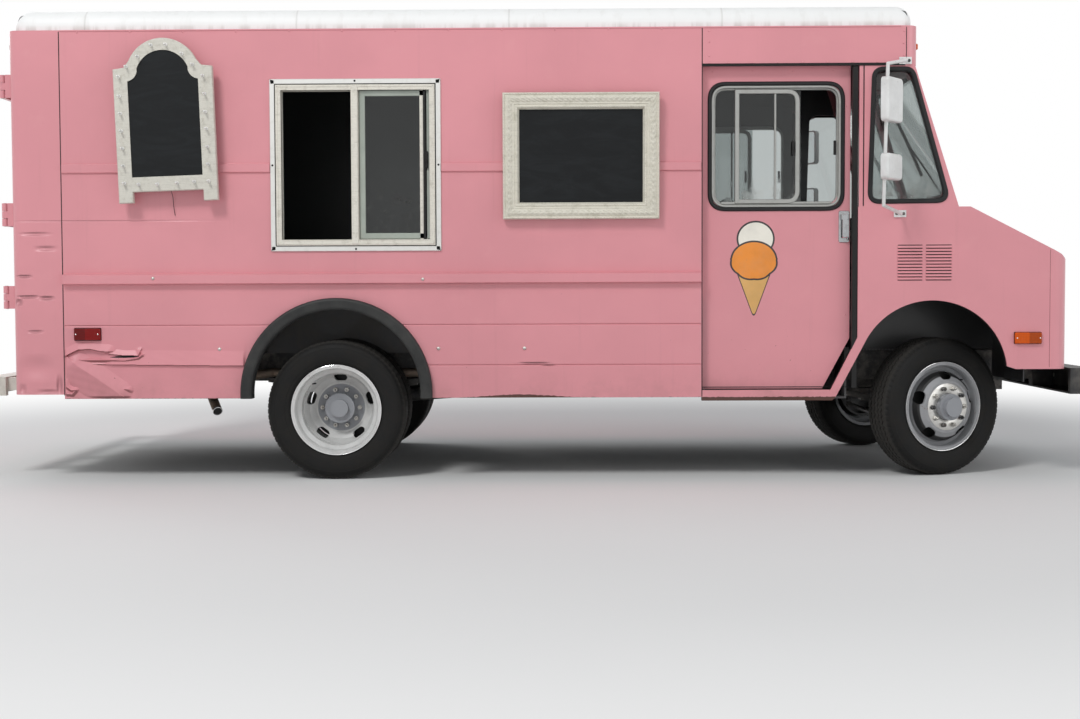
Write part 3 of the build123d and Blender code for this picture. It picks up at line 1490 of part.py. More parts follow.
# Steering wheel: rim, three spokes and a hub on the raked column
WHEEL_RADIUS = 215
with BuildPart(mode=Mode.PRIVATE) as flat_wheel:
    Torus(WHEEL_RADIUS, 13)
    Cylinder(42, 40)
    for spoke in (90, 210, 330):
        end = (WHEEL_RADIUS * cos(radians(spoke)), WHEEL_RADIUS * sin(radians(spoke)), 0)
        tube_between((0, 0, 0), end, 9)
with BuildPart() as steering_wheel:
    add(Plane(origin=WHEEL_CENTRE, z_dir=WHEEL_CENTRE - COLUMN_FOOT).location * flat_wheel.part)
save("steering_wheel", steering_wheel)


# Driver's seat: pedestal, cushion and back, padded all over
SEAT_Y = (352, 800)
SEAT_PADS = [
    # corners of each pad seen from the side
    [(1330, 1060), (1800, 1060), (1800, 1180), (1330, 1160)],
    [(1340, 1130), (1455, 1135), (1350, 1760), (1250, 1760)],
]
with BuildPart() as driver_seat:
    block(1430, 1700, 400, 700, FLOOR_Z, 1070)
    for corners in SEAT_PADS:
        right_plate(rounded_xz(corners, 28), -SEAT_Y[1], -SEAT_Y[0])
save("driver_seat", driver_seat)


# Galley: serving cabinet over the wheel box under the window, and a chest freezer opposite
with BuildPart() as galley:
    block(-1700, -300, -1095, -560, FLOOR_Z, 1290)
    block(-1720, -280, -1103, -540, 1290, 1322)
    block(-1655, -625, -1105, -570, FLOOR_Z - 5, 1015, Mode.SUBTRACT)
    block(-560, 40, 480, 1045, FLOOR_Z, 1560)
    block(-570, 50, 470, 1045, 1560, 1620)
save("galley", galley)
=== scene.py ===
"""Looks of a step van fitted out as an ice cream truck.

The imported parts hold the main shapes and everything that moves. This file
paints them and adds what is too fine for them: window trims, fasteners,
lenses, tyre tread, carved boards, padding, dents and wear.

Everything is in metres. X points forward, Y to the driver's left, Z up, and
the ground is at z = 0.
"""

import json
import logging
import math
from dataclasses import dataclass, field
from enum import Enum
from typing import Any, Iterable, Mapping, Optional, Sequence

import bmesh
import bpy
import numpy as np
from mathutils import Matrix, Vector

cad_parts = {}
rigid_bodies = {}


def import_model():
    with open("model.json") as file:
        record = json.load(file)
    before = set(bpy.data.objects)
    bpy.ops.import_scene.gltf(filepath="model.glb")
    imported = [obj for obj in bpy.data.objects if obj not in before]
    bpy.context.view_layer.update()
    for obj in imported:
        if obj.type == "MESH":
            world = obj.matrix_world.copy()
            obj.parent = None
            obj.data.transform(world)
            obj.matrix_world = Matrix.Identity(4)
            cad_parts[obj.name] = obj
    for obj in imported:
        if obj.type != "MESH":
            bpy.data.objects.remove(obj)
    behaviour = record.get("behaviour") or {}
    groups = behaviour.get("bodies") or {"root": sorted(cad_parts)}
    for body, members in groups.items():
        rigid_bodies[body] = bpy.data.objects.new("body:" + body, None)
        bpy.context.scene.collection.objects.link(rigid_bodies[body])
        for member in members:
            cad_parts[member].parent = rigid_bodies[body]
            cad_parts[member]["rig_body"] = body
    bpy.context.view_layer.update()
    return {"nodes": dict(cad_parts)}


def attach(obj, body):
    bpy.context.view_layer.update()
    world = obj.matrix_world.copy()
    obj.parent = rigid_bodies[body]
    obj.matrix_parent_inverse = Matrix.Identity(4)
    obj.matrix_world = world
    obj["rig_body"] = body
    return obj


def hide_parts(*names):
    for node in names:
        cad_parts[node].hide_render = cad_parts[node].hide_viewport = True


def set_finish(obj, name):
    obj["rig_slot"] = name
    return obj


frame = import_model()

LOG = logging.getLogger("truck")
Array = np.ndarray
Socket = bpy.types.NodeSocket
Point = Sequence[float]
Colour = tuple[float, float, float]
TAU = 2 * math.pi
SUNK = 0.002  # how far a fastener's foot goes into its sheet
OUTWARD = (0, -1, 0)  # away from the right wall


# Surfaces worked out with numpy


@dataclass(frozen=True)
class Surface:
    """Points with four-sided and three-sided faces between them."""

    points: Array
    quads: Array
    triangles: Array = field(default_factory=lambda: np.zeros((0, 3), int))

    @staticmethod
    def grid(points: Array, wrap_rows: bool = False, wrap_columns: bool = False) -> "Surface":
        """Join a grid of points into four-sided faces.

        Args:
            points: array of shape (rows, columns, 3).
            wrap_rows: join the last row to the first.
            wrap_columns: join the last column to the first.

        Returns:
            The surface through the points.
        """
        rows, columns = points.shape[:2]
        number = np.arange(rows * columns).reshape(rows, columns)
        if wrap_rows:
            number = np.vstack([number, number[:1]])
        if wrap_columns:
            number = np.hstack([number, number[:, :1]])
        quads = np.stack(
            [number[:-1, :-1], number[:-1, 1:], number[1:, 1:], number[1:, :-1]], axis=-1
        ).reshape(-1, 4)
        return Surface(points.reshape(-1, 3), quads)

    @staticmethod
    def tube(rings: Array, hubs: Optional[Array] = None) -> "Surface":
        """Rings of points joined to a wall, with a fan of triangles at each end.

        Args:
            rings: array of shape (rings, points in a ring, 3).
            hubs: middles of the two fans, those of the rings where left out.

        Returns:
            The closed surface.
        """
        wall = Surface.grid(rings, wrap_columns=True)
        if hubs is None:
            hubs = rings[[0, -1]].mean(1)
        ring = np.arange(rings.shape[1])
        following = np.roll(ring, -1)
        last = len(wall.points) - len(ring)
        hub = np.full(len(ring), len(wall.points))
        near = np.stack([hub, following, ring], axis=1)
        far = np.stack([hub + 1, last + ring, last + following], axis=1)
        return Surface(
            np.concatenate([wall.points, hubs]), wall.quads, np.concatenate([near, far])
        )

    @staticmethod
    def joined(parts: Iterable["Surface"]) -> "Surface":
        """Put several surfaces into one, each face keeping its own points.

        Args:
            parts: the surfaces to join.

        Returns:
            One surface that holds them all.
        """
        listed = list(parts)
        starts = np.cumsum([0] + [len(part.points) for part in listed[:-1]])
        return Surface(
            np.concatenate([part.points for part in listed]),
            np.concatenate([part.quads + start for part, start in zip(listed, starts)]),
            np.concatenate([part.triangles + start for part, start in zip(listed, starts)]),
        )

    @staticmethod
    def of_node(name: str) -> "Surface":
        """Read the triangles of a CAD node's mesh."""
        mesh = frame["nodes"][name].data
        mesh.calc_loop_triangles()
        points = np.empty(3 * len(mesh.vertices), np.float32)
        corners = np.empty(3 * len(mesh.loop_triangles), np.int32)
        mesh.vertices.foreach_get("co", points)
        mesh.loop_triangles.foreach_get("vertices", corners)
        points, corners = points.reshape(-1, 3).astype(float), corners.reshape(-1, 3)
        return Surface(points, np.empty((0, 4), int), corners)

    def placed(self, turn: Array, offset: Point = (0, 0, 0)) -> "Surface":
        """Turn and then shift: p becomes turn @ p + offset.

        Args:
            turn: 3 by 3 matrix.
            offset: shift along the three axes.

        Returns:
            The surface in its new place, with its faces still outward.
        """
        points = self.points @ np.asarray(turn, float).T + np.asarray(offset, float)
        if np.linalg.det(turn) < 0:
            return Surface(points, self.quads[:, ::-1], self.triangles[:, ::-1])
        return Surface(points, self.quads, self.triangles)

    def shifted(self, offset: Point) -> "Surface":
        """Shift along the three axes."""
        return self.placed(np.eye(3), offset)

    def mirrored(self) -> "Surface":
        """Mirror image on the other side of the truck, y becomes -y."""
        return self.placed(np.diag([1.0, -1.0, 1.0]))

    def both_sides(self) -> "Surface":
        """This surface and its mirror image."""
        return Surface.joined([self, self.mirrored()])

    def copied(self, places: Array) -> "Surface":
        """One copy at each place, by adding every offset to every point.

        Args:
            places: array of shape (copies, 3).

        Returns:
            All the copies in one surface.
        """
        places = np.asarray(places, float).reshape(-1, 3)
        starts = (np.arange(len(places)) * len(self.points))[:, None, None]
        return Surface(
            (places[:, None] + self.points[None]).reshape(-1, 3),
            (starts + self.quads[None]).reshape(-1, 4),
            (starts + self.triangles[None]).reshape(-1, 3),
        )


def turn_about(axis: str, degrees: float) -> Array:
    """Matrix of a turn about one of the axes X, Y or Z, right hand rule."""
    return np.array(Matrix.Rotation(math.radians(degrees), 3, axis))


def smooth_step(value: Array, low: float, high: float) -> Array:
    """0 below low, 1 above high and 3t^2 - 2t^3 between them."""
    share = np.clip((np.asarray(value, float) - low) / (high - low), 0, 1)
    return share * share * (3 - 2 * share)


def rounded_outline(corners: Sequence[Point], radius: float, steps: int = 10) -> Array:
    """Closed outline with each corner rounded.

    A corner C with neighbours at distance d along both sides becomes the curve
    (1-t)^2 A + 2t(1-t) C + t^2 B, with A and B at d = radius / tan(angle / 2).

    Args:
        corners: corner points, each (across, up).
        radius: corner radius.
        steps: points on each corner.

    Returns:
        Array of shape (corners * steps, 2).
    """
    c = np.asarray(corners, float)
    before = np.roll(c, 1, 0) - c
    after = np.roll(c, -1, 0) - c
    before /= np.linalg.norm(before, axis=1, keepdims=True)
    after /= np.linalg.norm(after, axis=1, keepdims=True)
    angle = np.arccos(np.clip((before * after).sum(1), -1, 1))
    reach = (radius / np.tan(angle / 2))[:, None]
    start, end = c + before * reach, c + after * reach
    bend = np.linspace(0, 1, steps)[None, :, None]
    c, start, end = c[:, None], start[:, None], end[:, None]
    return ((1 - bend) ** 2 * start + 2 * bend * (1 - bend) * c + bend**2 * end).reshape(-1, 2)


def box_corners(x0: float, x1: float, z0: float, z1: float) -> list:
    """Corners of a rectangle, against the clock."""
    return [(x0, z0), (x1, z0), (x1, z1), (x0, z1)]


def on_wall(outline: Array, y: float) -> Array:
    """Points (x, z) of an outline set upright at a given y."""
    return np.stack([outline[:, 0], np.full(len(outline), y), outline[:, 1]], axis=1)


def circle(radius: float, count: int) -> Array:
    """Round outline of count points, (radius cos a, radius sin a)."""
    angle = np.arange(count) * TAU / count
    return np.stack([radius * np.cos(angle), radius * np.sin(angle)], axis=1)


def grown(outline: Array, by: float) -> Array:
    """Outline whose points move away from its middle by a distance."""
    middle = outline.mean(0)
    away = outline - middle
    return middle + away * (1 + by / np.linalg.norm(away, axis=1, keepdims=True))


def sweep(section: Array, path: Array, closed: bool, outward: Point) -> Surface:
    """Carry a closed section along a path.

    A point of the path P with tangent T gets the section's first number along
    outward x T and its second along outward. At a bend the first is stretched
    by 1 / cos(half the bend), so the strip keeps its width.

    Args:
        section: closed section, (count, 2).
        path: points of the path, (count, 3).
        closed: the path ends where it starts.
        outward: direction that the section's second number follows.

    Returns:
        The swept strip, with its ends closed where the path is open.
    """
    path = np.asarray(path, float)
    ahead = np.roll(path, -1, 0) - path
    behind = path - np.roll(path, 1, 0)
    if not closed:
        ahead[-1], behind[0] = behind[-1], ahead[0]
    keep = np.linalg.norm(ahead, axis=1) > 1e-7
    if not closed:
        keep[-1] = True
    if not keep.all():
        return sweep(section, path[keep], closed, outward)
    ahead /= np.linalg.norm(ahead, axis=1, keepdims=True)
    behind /= np.linalg.norm(behind, axis=1, keepdims=True)
    tangent = ahead + behind
    tangent /= np.linalg.norm(tangent, axis=1, keepdims=True)
    up = np.asarray(outward, float) / np.linalg.norm(outward)
    side = np.cross(np.broadcast_to(up, tangent.shape), tangent)
    side /= np.linalg.norm(side, axis=1, keepdims=True)
    lift = np.cross(tangent, side)
    stretch = 1 / np.maximum((tangent * ahead).sum(1), 0.5)
    points = (
        path[:, None]
        + side[:, None] * (section[None, :, :1] * stretch[:, None, None])
        + lift[:, None] * section[None, :, 1:]
    )
    if closed:
        return Surface.grid(points, wrap_rows=True, wrap_columns=True)
    return Surface.tube(points)


def lathe(
    profile: Sequence[Any], segments: int = 32, axis: str = "X", closed: bool = False
) -> Surface:
    """Turn a profile about an axis: (along, r) becomes (along, r cos a, r sin a).

    Args:
        profile: points (along the axis, distance from it).
        segments: steps round the axis.
        axis: name of the axis, X, Y or Z.
        closed: join the profile's last point to its first.

    Returns:
        The turned surface about the origin.
    """
    angle = np.arange(segments) * TAU / segments
    profile = np.asarray(profile, float)
    along = np.broadcast_to(profile[:, :1], (len(profile), segments))
    one = profile[:, 1:] * np.cos(angle)
    other = profile[:, 1:] * np.sin(angle)
    order = {"X": (along, one, other), "Y": (other, along, one), "Z": (one, other, along)}[axis]
    return Surface.grid(np.stack(order, axis=-1), wrap_rows=closed, wrap_columns=True)


def plate(outline: Array, back: float, front: float, edge: float = 0.0) -> Surface:
    """Flat piece on the right side, between y = -back and y = -front.

    The outline is drawn in by edge over the last edge metres of its depth, and
    both faces are closed with triangles to the middle of the outline.

    Args:
        outline: closed outline (x, z), star shaped about its middle.
        back: distance of the back face from the middle of the truck.
        front: distance of the front face.
        edge: size of the front edge's bevel.

    Returns:
        The closed plate.
    """
    rings = [on_wall(outline, -back), on_wall(outline, -(front - edge))]
    if edge:
        rings.append(on_wall(grown(outline, -edge), -front))
    x, z = outline.mean(0)
    return Surface.tube(np.stack(rings), np.array([(x, -back, z), (x, -front, z)]))


def bar(low: Point, high: Point, edge: float = 0.002) -> Surface:
    """Block with bevelled long edges between two opposite corners.

    Args:
        low: lowest corner.
        high: highest corner.
        edge: size of the bevel.

    Returns:
        The closed block, as a bevelled section carried along its longest side.
    """
    low, high = np.asarray(low, float), np.asarray(high, float)
    size = high - low
    long = int(np.argmax(size))
    one, other = [k for k in range(3) if k != long]
    edge = min(edge, size[one] / 3, size[other] / 3)
    a, b = size[one] / 2, size[other] / 2
    section = np.array(
        [(a, b - edge), (a - edge, b), (edge - a, b), (-a, b - edge),
         (-a, edge - b), (edge - a, -b), (a - edge, -b), (a, edge - b)]
    )
    drawn_in = 1 - edge / min(a, b)
    shares = np.array([0, edge, size[long] - edge, size[long]])
    sizes = np.array([drawn_in, 1, 1, drawn_in])
    points = np.zeros((4, 8, 3))
    middle = (low + high) / 2
    points[..., one] = middle[one] + section[None, :, 0] * sizes[:, None]
    points[..., other] = middle[other] + section[None, :, 1] * sizes[:, None]
    points[..., long] = low[long] + shares[:, None]
    return Surface.tube(points)


def bars(*rows: Sequence[Any]) -> Surface:
    """Several blocks in one surface, each row the arguments of bar."""
    return Surface.joined(bar(*row) for row in rows)


def facing(way: Point) -> Array:
    """Matrix of the turn that brings +X to point a given way."""
    return np.array(Vector((1, 0, 0)).rotation_difference(Vector(way)).to_matrix())


def bolt_head(radius: float, height: float, way: Point, segments: int) -> Surface:
    """Domed head: radius cos t at height sin t, t from 0 to a quarter turn.

    Args:
        radius: radius of the head.
        height: height of the dome.
        way: direction that the dome points.
        segments: steps round the head.

    Returns:
        The head with its base at the origin.
    """
    rise = np.linspace(0, math.pi / 2, 5)
    profile = np.stack([height * np.sin(rise), radius * np.cos(rise)], axis=1)
    profile = np.concatenate([[(-SUNK, 0.0), (-SUNK, radius)], profile])
    return lathe(profile, segments).placed(facing(way))


def hexagon_nut(radius: float, height: float, way: Point) -> Surface:
    """Six-sided nut with a drawn-in top, its base at the origin."""
    flank = [(-SUNK, 0), (-SUNK, radius), (height * 0.8, radius)]
    return lathe([*flank, (height, radius * 0.85), (height, 0)], 6).placed(facing(way))


# Shader sums written as Python expressions


class Value:
    """A shader number, with the operators that the finishes use.

    Each operator adds one Math node, so 1 - mask * 0.5 works as it reads.
    """

    def __init__(self, shader: "Shader", socket: Socket) -> None:
        """Wrap one output socket of a shader's node tree."""
        self.shader = shader
        self.socket = socket

    def done(self, operation: str, other: Any = None, swapped: bool = False) -> "Value":
        """One Math node with this value as its first number.

        Args:
            operation: name of the Math node's operation.
            other: the second number or value, where it takes one.
            swapped: put this value second.

        Returns:
            The node's result.
        """
        numbers = {0: self} if other is None else {int(swapped): self, 1 - int(swapped): other}
        node = self.shader.node("ShaderNodeMath", {"operation": operation}, numbers)
        return Value(self.shader, node.outputs[0])

    def __add__(self, other: Any) -> "Value":
        """Sum of two values."""
        return self.done("ADD", other)

    __radd__ = __add__

    def __sub__(self, other: Any) -> "Value":
        """This value less another."""
        return self.done("SUBTRACT", other)

    def __rsub__(self, other: Any) -> "Value":
        """Another number less this value."""
        return self.done("SUBTRACT", other, swapped=True)

    def __mul__(self, other: Any) -> "Value":
        """Product of two values."""
        return self.done("MULTIPLY", other)

    __rmul__ = __mul__

    def __truediv__(self, other: Any) -> "Value":
        """This value divided by another."""
        return self.done("DIVIDE", other)

    def __pow__(self, other: Any) -> "Value":
        """This value to a power."""
        return self.done("POWER", other)

    def __abs__(self) -> "Value":
        """Size without its sign."""
        return self.done("ABSOLUTE")

    def wave(self, pitch: float) -> "Value":
        """Sine that repeats once every pitch."""
        return (self * (TAU / pitch)).done("SINE")

    def larger(self, other: Any) -> "Value":
        """The larger of two values."""
        return self.done("MAXIMUM", other)

    def above(self, low: float, high: float) -> "Value":
        """0 below low, 1 above high, with a smooth step between them."""
        node = self.shader.node(
            "ShaderNodeMapRange",
            {"interpolation_type": "SMOOTHSTEP"},
            {"Value": self, "From Min": low, "From Max": high},
        )
        return Value(self.shader, node.outputs["Result"])

    def below(self, low: float, high: float) -> "Value":
        """1 below low, 0 above high, with a smooth step between them."""
        return 1 - self.above(low, high)

    def near(self, middle: float, width: float) -> "Value":
        """1 at the middle and 0 from one width away, with a smooth step."""
        return abs(self - middle).below(0, width)


class Shader:
    """Builds one material: its nodes, and the Principled shader they feed."""

    def __init__(self, name: str) -> None:
        """Start an empty material with one Principled shader."""
        self.material = bpy.data.materials.new(name)
        self.material.use_nodes = True
        self.tree = self.material.node_tree
        self.tree.nodes.clear()
        output = self.tree.nodes.new("ShaderNodeOutputMaterial")
        self.principled = self.tree.nodes.new("ShaderNodeBsdfPrincipled")
        self.tree.links.new(self.principled.outputs[0], output.inputs[0])
        self.place = self.node("ShaderNodeTexCoord").outputs["Object"]
        self.x, self.y, self.z = self.axes(self.place)

    def feed(self, socket: Socket, value: Any) -> None:
        """Link a value to a socket, or set it there if it is a number or a colour.

        Args:
            socket: the input socket.
            value: a Value, an output socket, a number, a vector or a colour.
        """
        source = value.socket if isinstance(value, Value) else value
        if isinstance(source, Socket):
            self.tree.links.new(source, socket)
        elif socket.type == "RGBA":
            socket.default_value = (*source, 1.0)
        else:
            socket.default_value = source

    def node(
        self, kind: str, settings: Optional[dict] = None, inputs: Optional[dict] = None
    ) -> bpy.types.Node:
        """Add a node.

        Args:
            kind: Blender's name for the node type.
            settings: the node's own settings, set first.
            inputs: what feeds its sockets, by name or number.

        Returns:
            The new node.
        """
        made = self.tree.nodes.new(kind)
        for name, value in (settings or {}).items():
            setattr(made, name, value)
        for name, value in (inputs or {}).items():
            self.feed(made.inputs[name], value)
        return made

    def axes(self, vector: Socket) -> list:
        """The three numbers of a vector."""
        split = self.node("ShaderNodeSeparateXYZ", {}, {0: vector})
        return [Value(self, output) for output in split.outputs]

    def stretched(self, scale: Point, turn: Point = (0, 0, 0)) -> Socket:
        """Object coordinates, turned about each axis in degrees, then scaled along each."""
        inputs = {"Vector": self.place, "Rotation": np.radians(turn), "Scale": scale}
        return self.node("ShaderNodeMapping", {}, inputs).outputs[0]

    def noise(
        self, scale: float, detail: float, roughness: float, vector: Any = None, warp: float = 0.0
    ) -> Value:
        """Cloudy noise from about 0.3 to 0.7.

        Args:
            scale: patches per metre.
            detail: layers of finer noise.
            roughness: strength of the finer layers.
            vector: coordinate, the object's own where it is left out.
            warp: distortion of the noise.

        Returns:
            The noise value.
        """
        inputs = {"Vector": vector or self.place, "Scale": scale, "Detail": detail}
        inputs.update(Roughness=roughness, Distortion=warp)
        return Value(self, self.node("ShaderNodeTexNoise", {}, inputs).outputs[0])

    def cell_edge(self, scale: float) -> Value:
        """Distance to the nearest edge in a pattern of scale cells per metre."""
        inputs = {"Vector": self.place, "Scale": scale}
        node = self.node("ShaderNodeTexVoronoi", {"feature": "DISTANCE_TO_EDGE"}, inputs)
        return Value(self, node.outputs["Distance"])

    def mix(self, share: Any, first: Any, second: Any) -> Socket:
        """Colour between two colours or links: share 0 gives the first, 1 the second."""
        inputs = {0: share, 6: first, 7: second}
        return self.node("ShaderNodeMix", {"data_type": "RGBA"}, inputs).outputs[2]

    def bump(self, height: Any, distance: float, strength: float) -> None:
        """Bend the shading normal, with height 1 standing a distance in metres proud."""
        inputs = {"Strength": strength, "Distance": distance, "Height": height}
        self.surface(Normal=self.node("ShaderNodeBump", {}, inputs).outputs[0])

    def surface(self, **inputs: Any) -> None:
        """Set the Principled shader's sockets, an underscore for each space."""
        for key, value in inputs.items():
            self.feed(self.principled.inputs[key.replace("_", " ")], value)


def tinted(colour: Colour, factor: float) -> Colour:
    """The colour made darker or lighter by a factor."""
    return tuple(min(1.0, channel * factor) for channel in colour)


class Finish:
    """A finish that makes its material once and hands it out after that."""

    made: dict = {}

    def shade(self, shader: Shader) -> None:
        """Write the finish's nodes into a new shader."""
        raise NotImplementedError

    def material(self) -> bpy.types.Material:
        """The finish's material, made the first time it is asked for."""
        if self not in Finish.made:
            shader = Shader(self.name)
            self.shade(shader)
            Finish.made[self] = shader.material
        return Finish.made[self]


class Skin(Enum):
    """Which pink sheet a paint is for, as that says where its inner face lies."""

    SHELL = "walls, nose, hood and cab"
    SLIDING_DOOR = "sliding door"
    REAR_DOOR = "rear door"
    TRIM = "small piece, pink all round"


@dataclass(frozen=True)
class InnerFaces:
    """Where the outer paint ends, in metres: most as the two ends of a short step.

    The hood and the screen slope: x, z and how far x goes back per metre of height."""

    sliding_door: Point = (1.064, 1.066)
    rear_door: Point = (-2.98, -2.977)
    rear_end: Point = (-2.964, -2.961)
    top: Point = (2.592, 2.596)
    arch_shade_top: Point = (1.04, 1.05)
    lining_foot: Point = (1.02, 1.06)
    skin: Point = (0.0, 0.002)
    side: float = 1.1085
    # low down the dark reaches this much further out, over the cut edges round the wheel arches:
    # painted shade
    arch_shade_width: float = 0.03
    nose: float = 3.045
    hood: Point = (3.0, 1.296, 1.93)
    screen: Point = (2.405, 1.57, 0.3185)


INNER = InnerFaces()


@dataclass(frozen=True)
class BodyPaint(Finish):
    """Pink van paint over old panels: soft orange peel, waves in the sheet,
    faint grime and chips low down. Inner faces are dark lining or undercoat, and the cut edges
    round the wheel arches carry painted shade."""

    name: str = "pink_paint"
    skin: Skin = Skin.SHELL
    colour: Colour = (0.69, 0.275, 0.308)
    gloss: float = 0.25
    # dark red-brown on faces that point down: partly scrape dirt, partly painted shade
    dirt_and_shade_below: float = 0.0
    lining: Colour = (0.05, 0.051, 0.053)
    undercoat: Colour = (0.012, 0.012, 0.013)
    right_face: Point = (-1.14, -1.134)
    relief: float = 0.012
    dents: float = 2.6
    pits: Sequence[Point] = (
        # middle x, middle z, half length, half height, depth
        (-2.91, 1.072, 0.085, 0.012, 0.8), (-2.8, 1.064, 0.055, 0.016, 0.9),
        (-2.93, 1.19, 0.06, 0.012, 0.7), (-2.965, 1.04, 0.03, 0.03, 0.9),
        (-2.86, 1.435, 0.12, 0.014, 0.4), (-2.8, 1.35, 0.09, 0.02, 0.5),
        (-2.87, 0.87, 0.06, 0.012, 0.5), (-2.86, 0.66, 0.16, 0.09, 0.7),
        (-2.735, 0.56, 0.022, 0.075, 0.8), (-2.8, 0.52, 0.09, 0.02, 0.4),
        (-2.95, 0.535, 0.03, 0.04, 0.5), (-2.5, 1.508, 0.9, 0.006, 0.15),
        (0.02, 0.679, 0.11, 0.008, 0.8), (0.1, 0.668, 0.05, 0.007, 0.7),
    )

    def inside(self, shader: Shader) -> Value:
        """1 on faces that look into the truck or a wheel arch, and on the inner part of the cut
        edges round the arches as painted shade, 0 outside.

        The shell's front limit is the lower of the nose and the two lines of
        the sloping hood and the raked windshield, moved in by the sheet."""
        half = abs(shader.y)
        if self.skin is Skin.SLIDING_DOOR:
            return half.below(*INNER.sliding_door)
        if self.skin is Skin.REAR_DOOR:
            return shader.x.above(*INNER.rear_door)
        slope, rake = (x - (shader.z - z) * back for x, z, back in (INNER.hood, INNER.screen))
        front = slope.larger(rake).done("MINIMUM", INNER.nose)
        # Below the arch height the dark reaches further out onto the arch edges: painted shade.
        arch = shader.z.below(*INNER.arch_shade_top)
        sides = (INNER.side + arch * INNER.arch_shade_width - half).above(*INNER.skin)
        ends = (front - shader.x).above(*INNER.skin) * shader.x.above(*INNER.rear_end)
        return sides * ends * shader.z.below(*INNER.top)

    def creases(self, shader: Shader) -> Value:
        """Height of the dents on the right side, each a long soft pit.

        A pit is near its middle height times near its middle along the wall."""
        right = shader.y.below(*self.right_face)
        total: Any = 0.0
        for x, z, long, tall, depth in self.pits:
            total = shader.x.near(x, long) * shader.z.near(z, tall) * depth + total
        return total * right

    def shade(self, shader: Shader) -> None:
        """Colour from fading, grime and chips, relief from peel, waves and dents."""
        fade = shader.noise(0.9, 4, 0.6)
        patches = shader.noise(7.0, 5, 0.65)
        deep, pale = tinted(self.colour, 0.96), tinted(self.colour, 1.04)
        base = shader.mix(fade.above(0.35, 0.65), deep, pale)
        base = shader.mix(patches.above(0.55, 0.75) * 0.15, base, (0.74, 0.35, 0.36))
        streaks = shader.noise(1.0, 4, 0.6, shader.stretched((26, 26, 0.9)))
        base = shader.mix(streaks.above(0.58, 0.74) * 0.09, base, (0.42, 0.19, 0.19))
        low = shader.z.below(0.46, 0.8)
        grime = low * low * shader.noise(5.0, 6, 0.7).above(0.38, 0.75)
        base = shader.mix(grime * 0.3, base, (0.3, 0.16, 0.14))
        ragged = shader.noise(34.0, 5, 0.7)
        torn = shader.x.near(-0.06, 0.42) * 0.018
        chips = (shader.z - torn - ragged * 0.016).below(0.471, 0.474)
        scuffs = shader.noise(60.0, 3, 0.6).above(0.742, 0.75) * shader.z.below(0.6, 1.3)
        # Faces that point down turn dark red-brown: partly scrape dirt, partly painted shade under
        # the folds.
        if self.dirt_and_shade_below:
            normal = shader.axes(shader.node("ShaderNodeNewGeometry").outputs["Normal"])
            under = (normal[2] * -1).above(0.02, 0.55)
            base = shader.mix(under * self.dirt_and_shade_below, base, (0.19, 0.06, 0.06))
        bare = chips.larger(scuffs)
        base = shader.mix(bare, base, (0.085, 0.036, 0.026))
        if self.skin is not Skin.TRIM:
            inner = self.inside(shader)
            dark = shader.mix(shader.z.above(*INNER.lining_foot), self.undercoat, self.lining)
            base = shader.mix(inner, base, dark)
        shader.surface(
            Base_Color=base,
            Roughness=0.46 - self.gloss * 0.5 + grime * 0.3 + bare * 0.35 + patches * 0.06,
            Coat_Weight=self.gloss,
            Coat_Roughness=0.18,
        )
        peel = shader.noise(260.0, 2, 0.5) * 0.012
        waves = shader.noise(1.7, 2, 0.5, shader.stretched((1.0, 1.0, 1.6))) * 0.55
        ripple = shader.noise(9.0, 2, 0.5) * 0.05
        relief = waves + ripple + peel - bare * 0.02
        if self.skin is Skin.SHELL:
            relief = relief - self.creases(shader) * self.dents
        shader.bump(relief, self.relief, 0.9)


@dataclass(frozen=True)
class PlainPaint(Finish):
    """Painted sheet or casting with worn edges, dust and a little peel."""

    name: str
    colour: Colour
    wear: Colour = (0.3, 0.24, 0.2)
    dust: Colour = (0.42, 0.38, 0.33)
    roughness: float = 0.42
    worn: float = 0.5
    dusty: float = 0.3
    metallic: float = 0.0

    def shade(self, shader: Shader) -> None:
        """Colour from two noises, with worn spots and dust in patches."""
        tone = shader.noise(3.0, 5, 0.6)
        deep, pale = tinted(self.colour, 0.88), tinted(self.colour, 1.08)
        base = shader.mix(tone.above(0.35, 0.65), deep, pale)
        film = shader.noise(11.0, 6, 0.65).above(0.4, 0.75) * self.dusty
        base = shader.mix(film, base, self.dust)
        spots = shader.noise(42.0, 5, 0.7).above(0.62, 0.68) * self.worn
        base = shader.mix(spots, base, self.wear)
        shader.surface(
            Base_Color=base,
            Roughness=self.roughness + film * 0.35 + spots * 0.2,
            Metallic=self.metallic,
        )
        shader.bump(shader.noise(180.0, 2, 0.5) * 0.3 - spots * 0.5 + tone * 0.4, 0.001, 0.6)


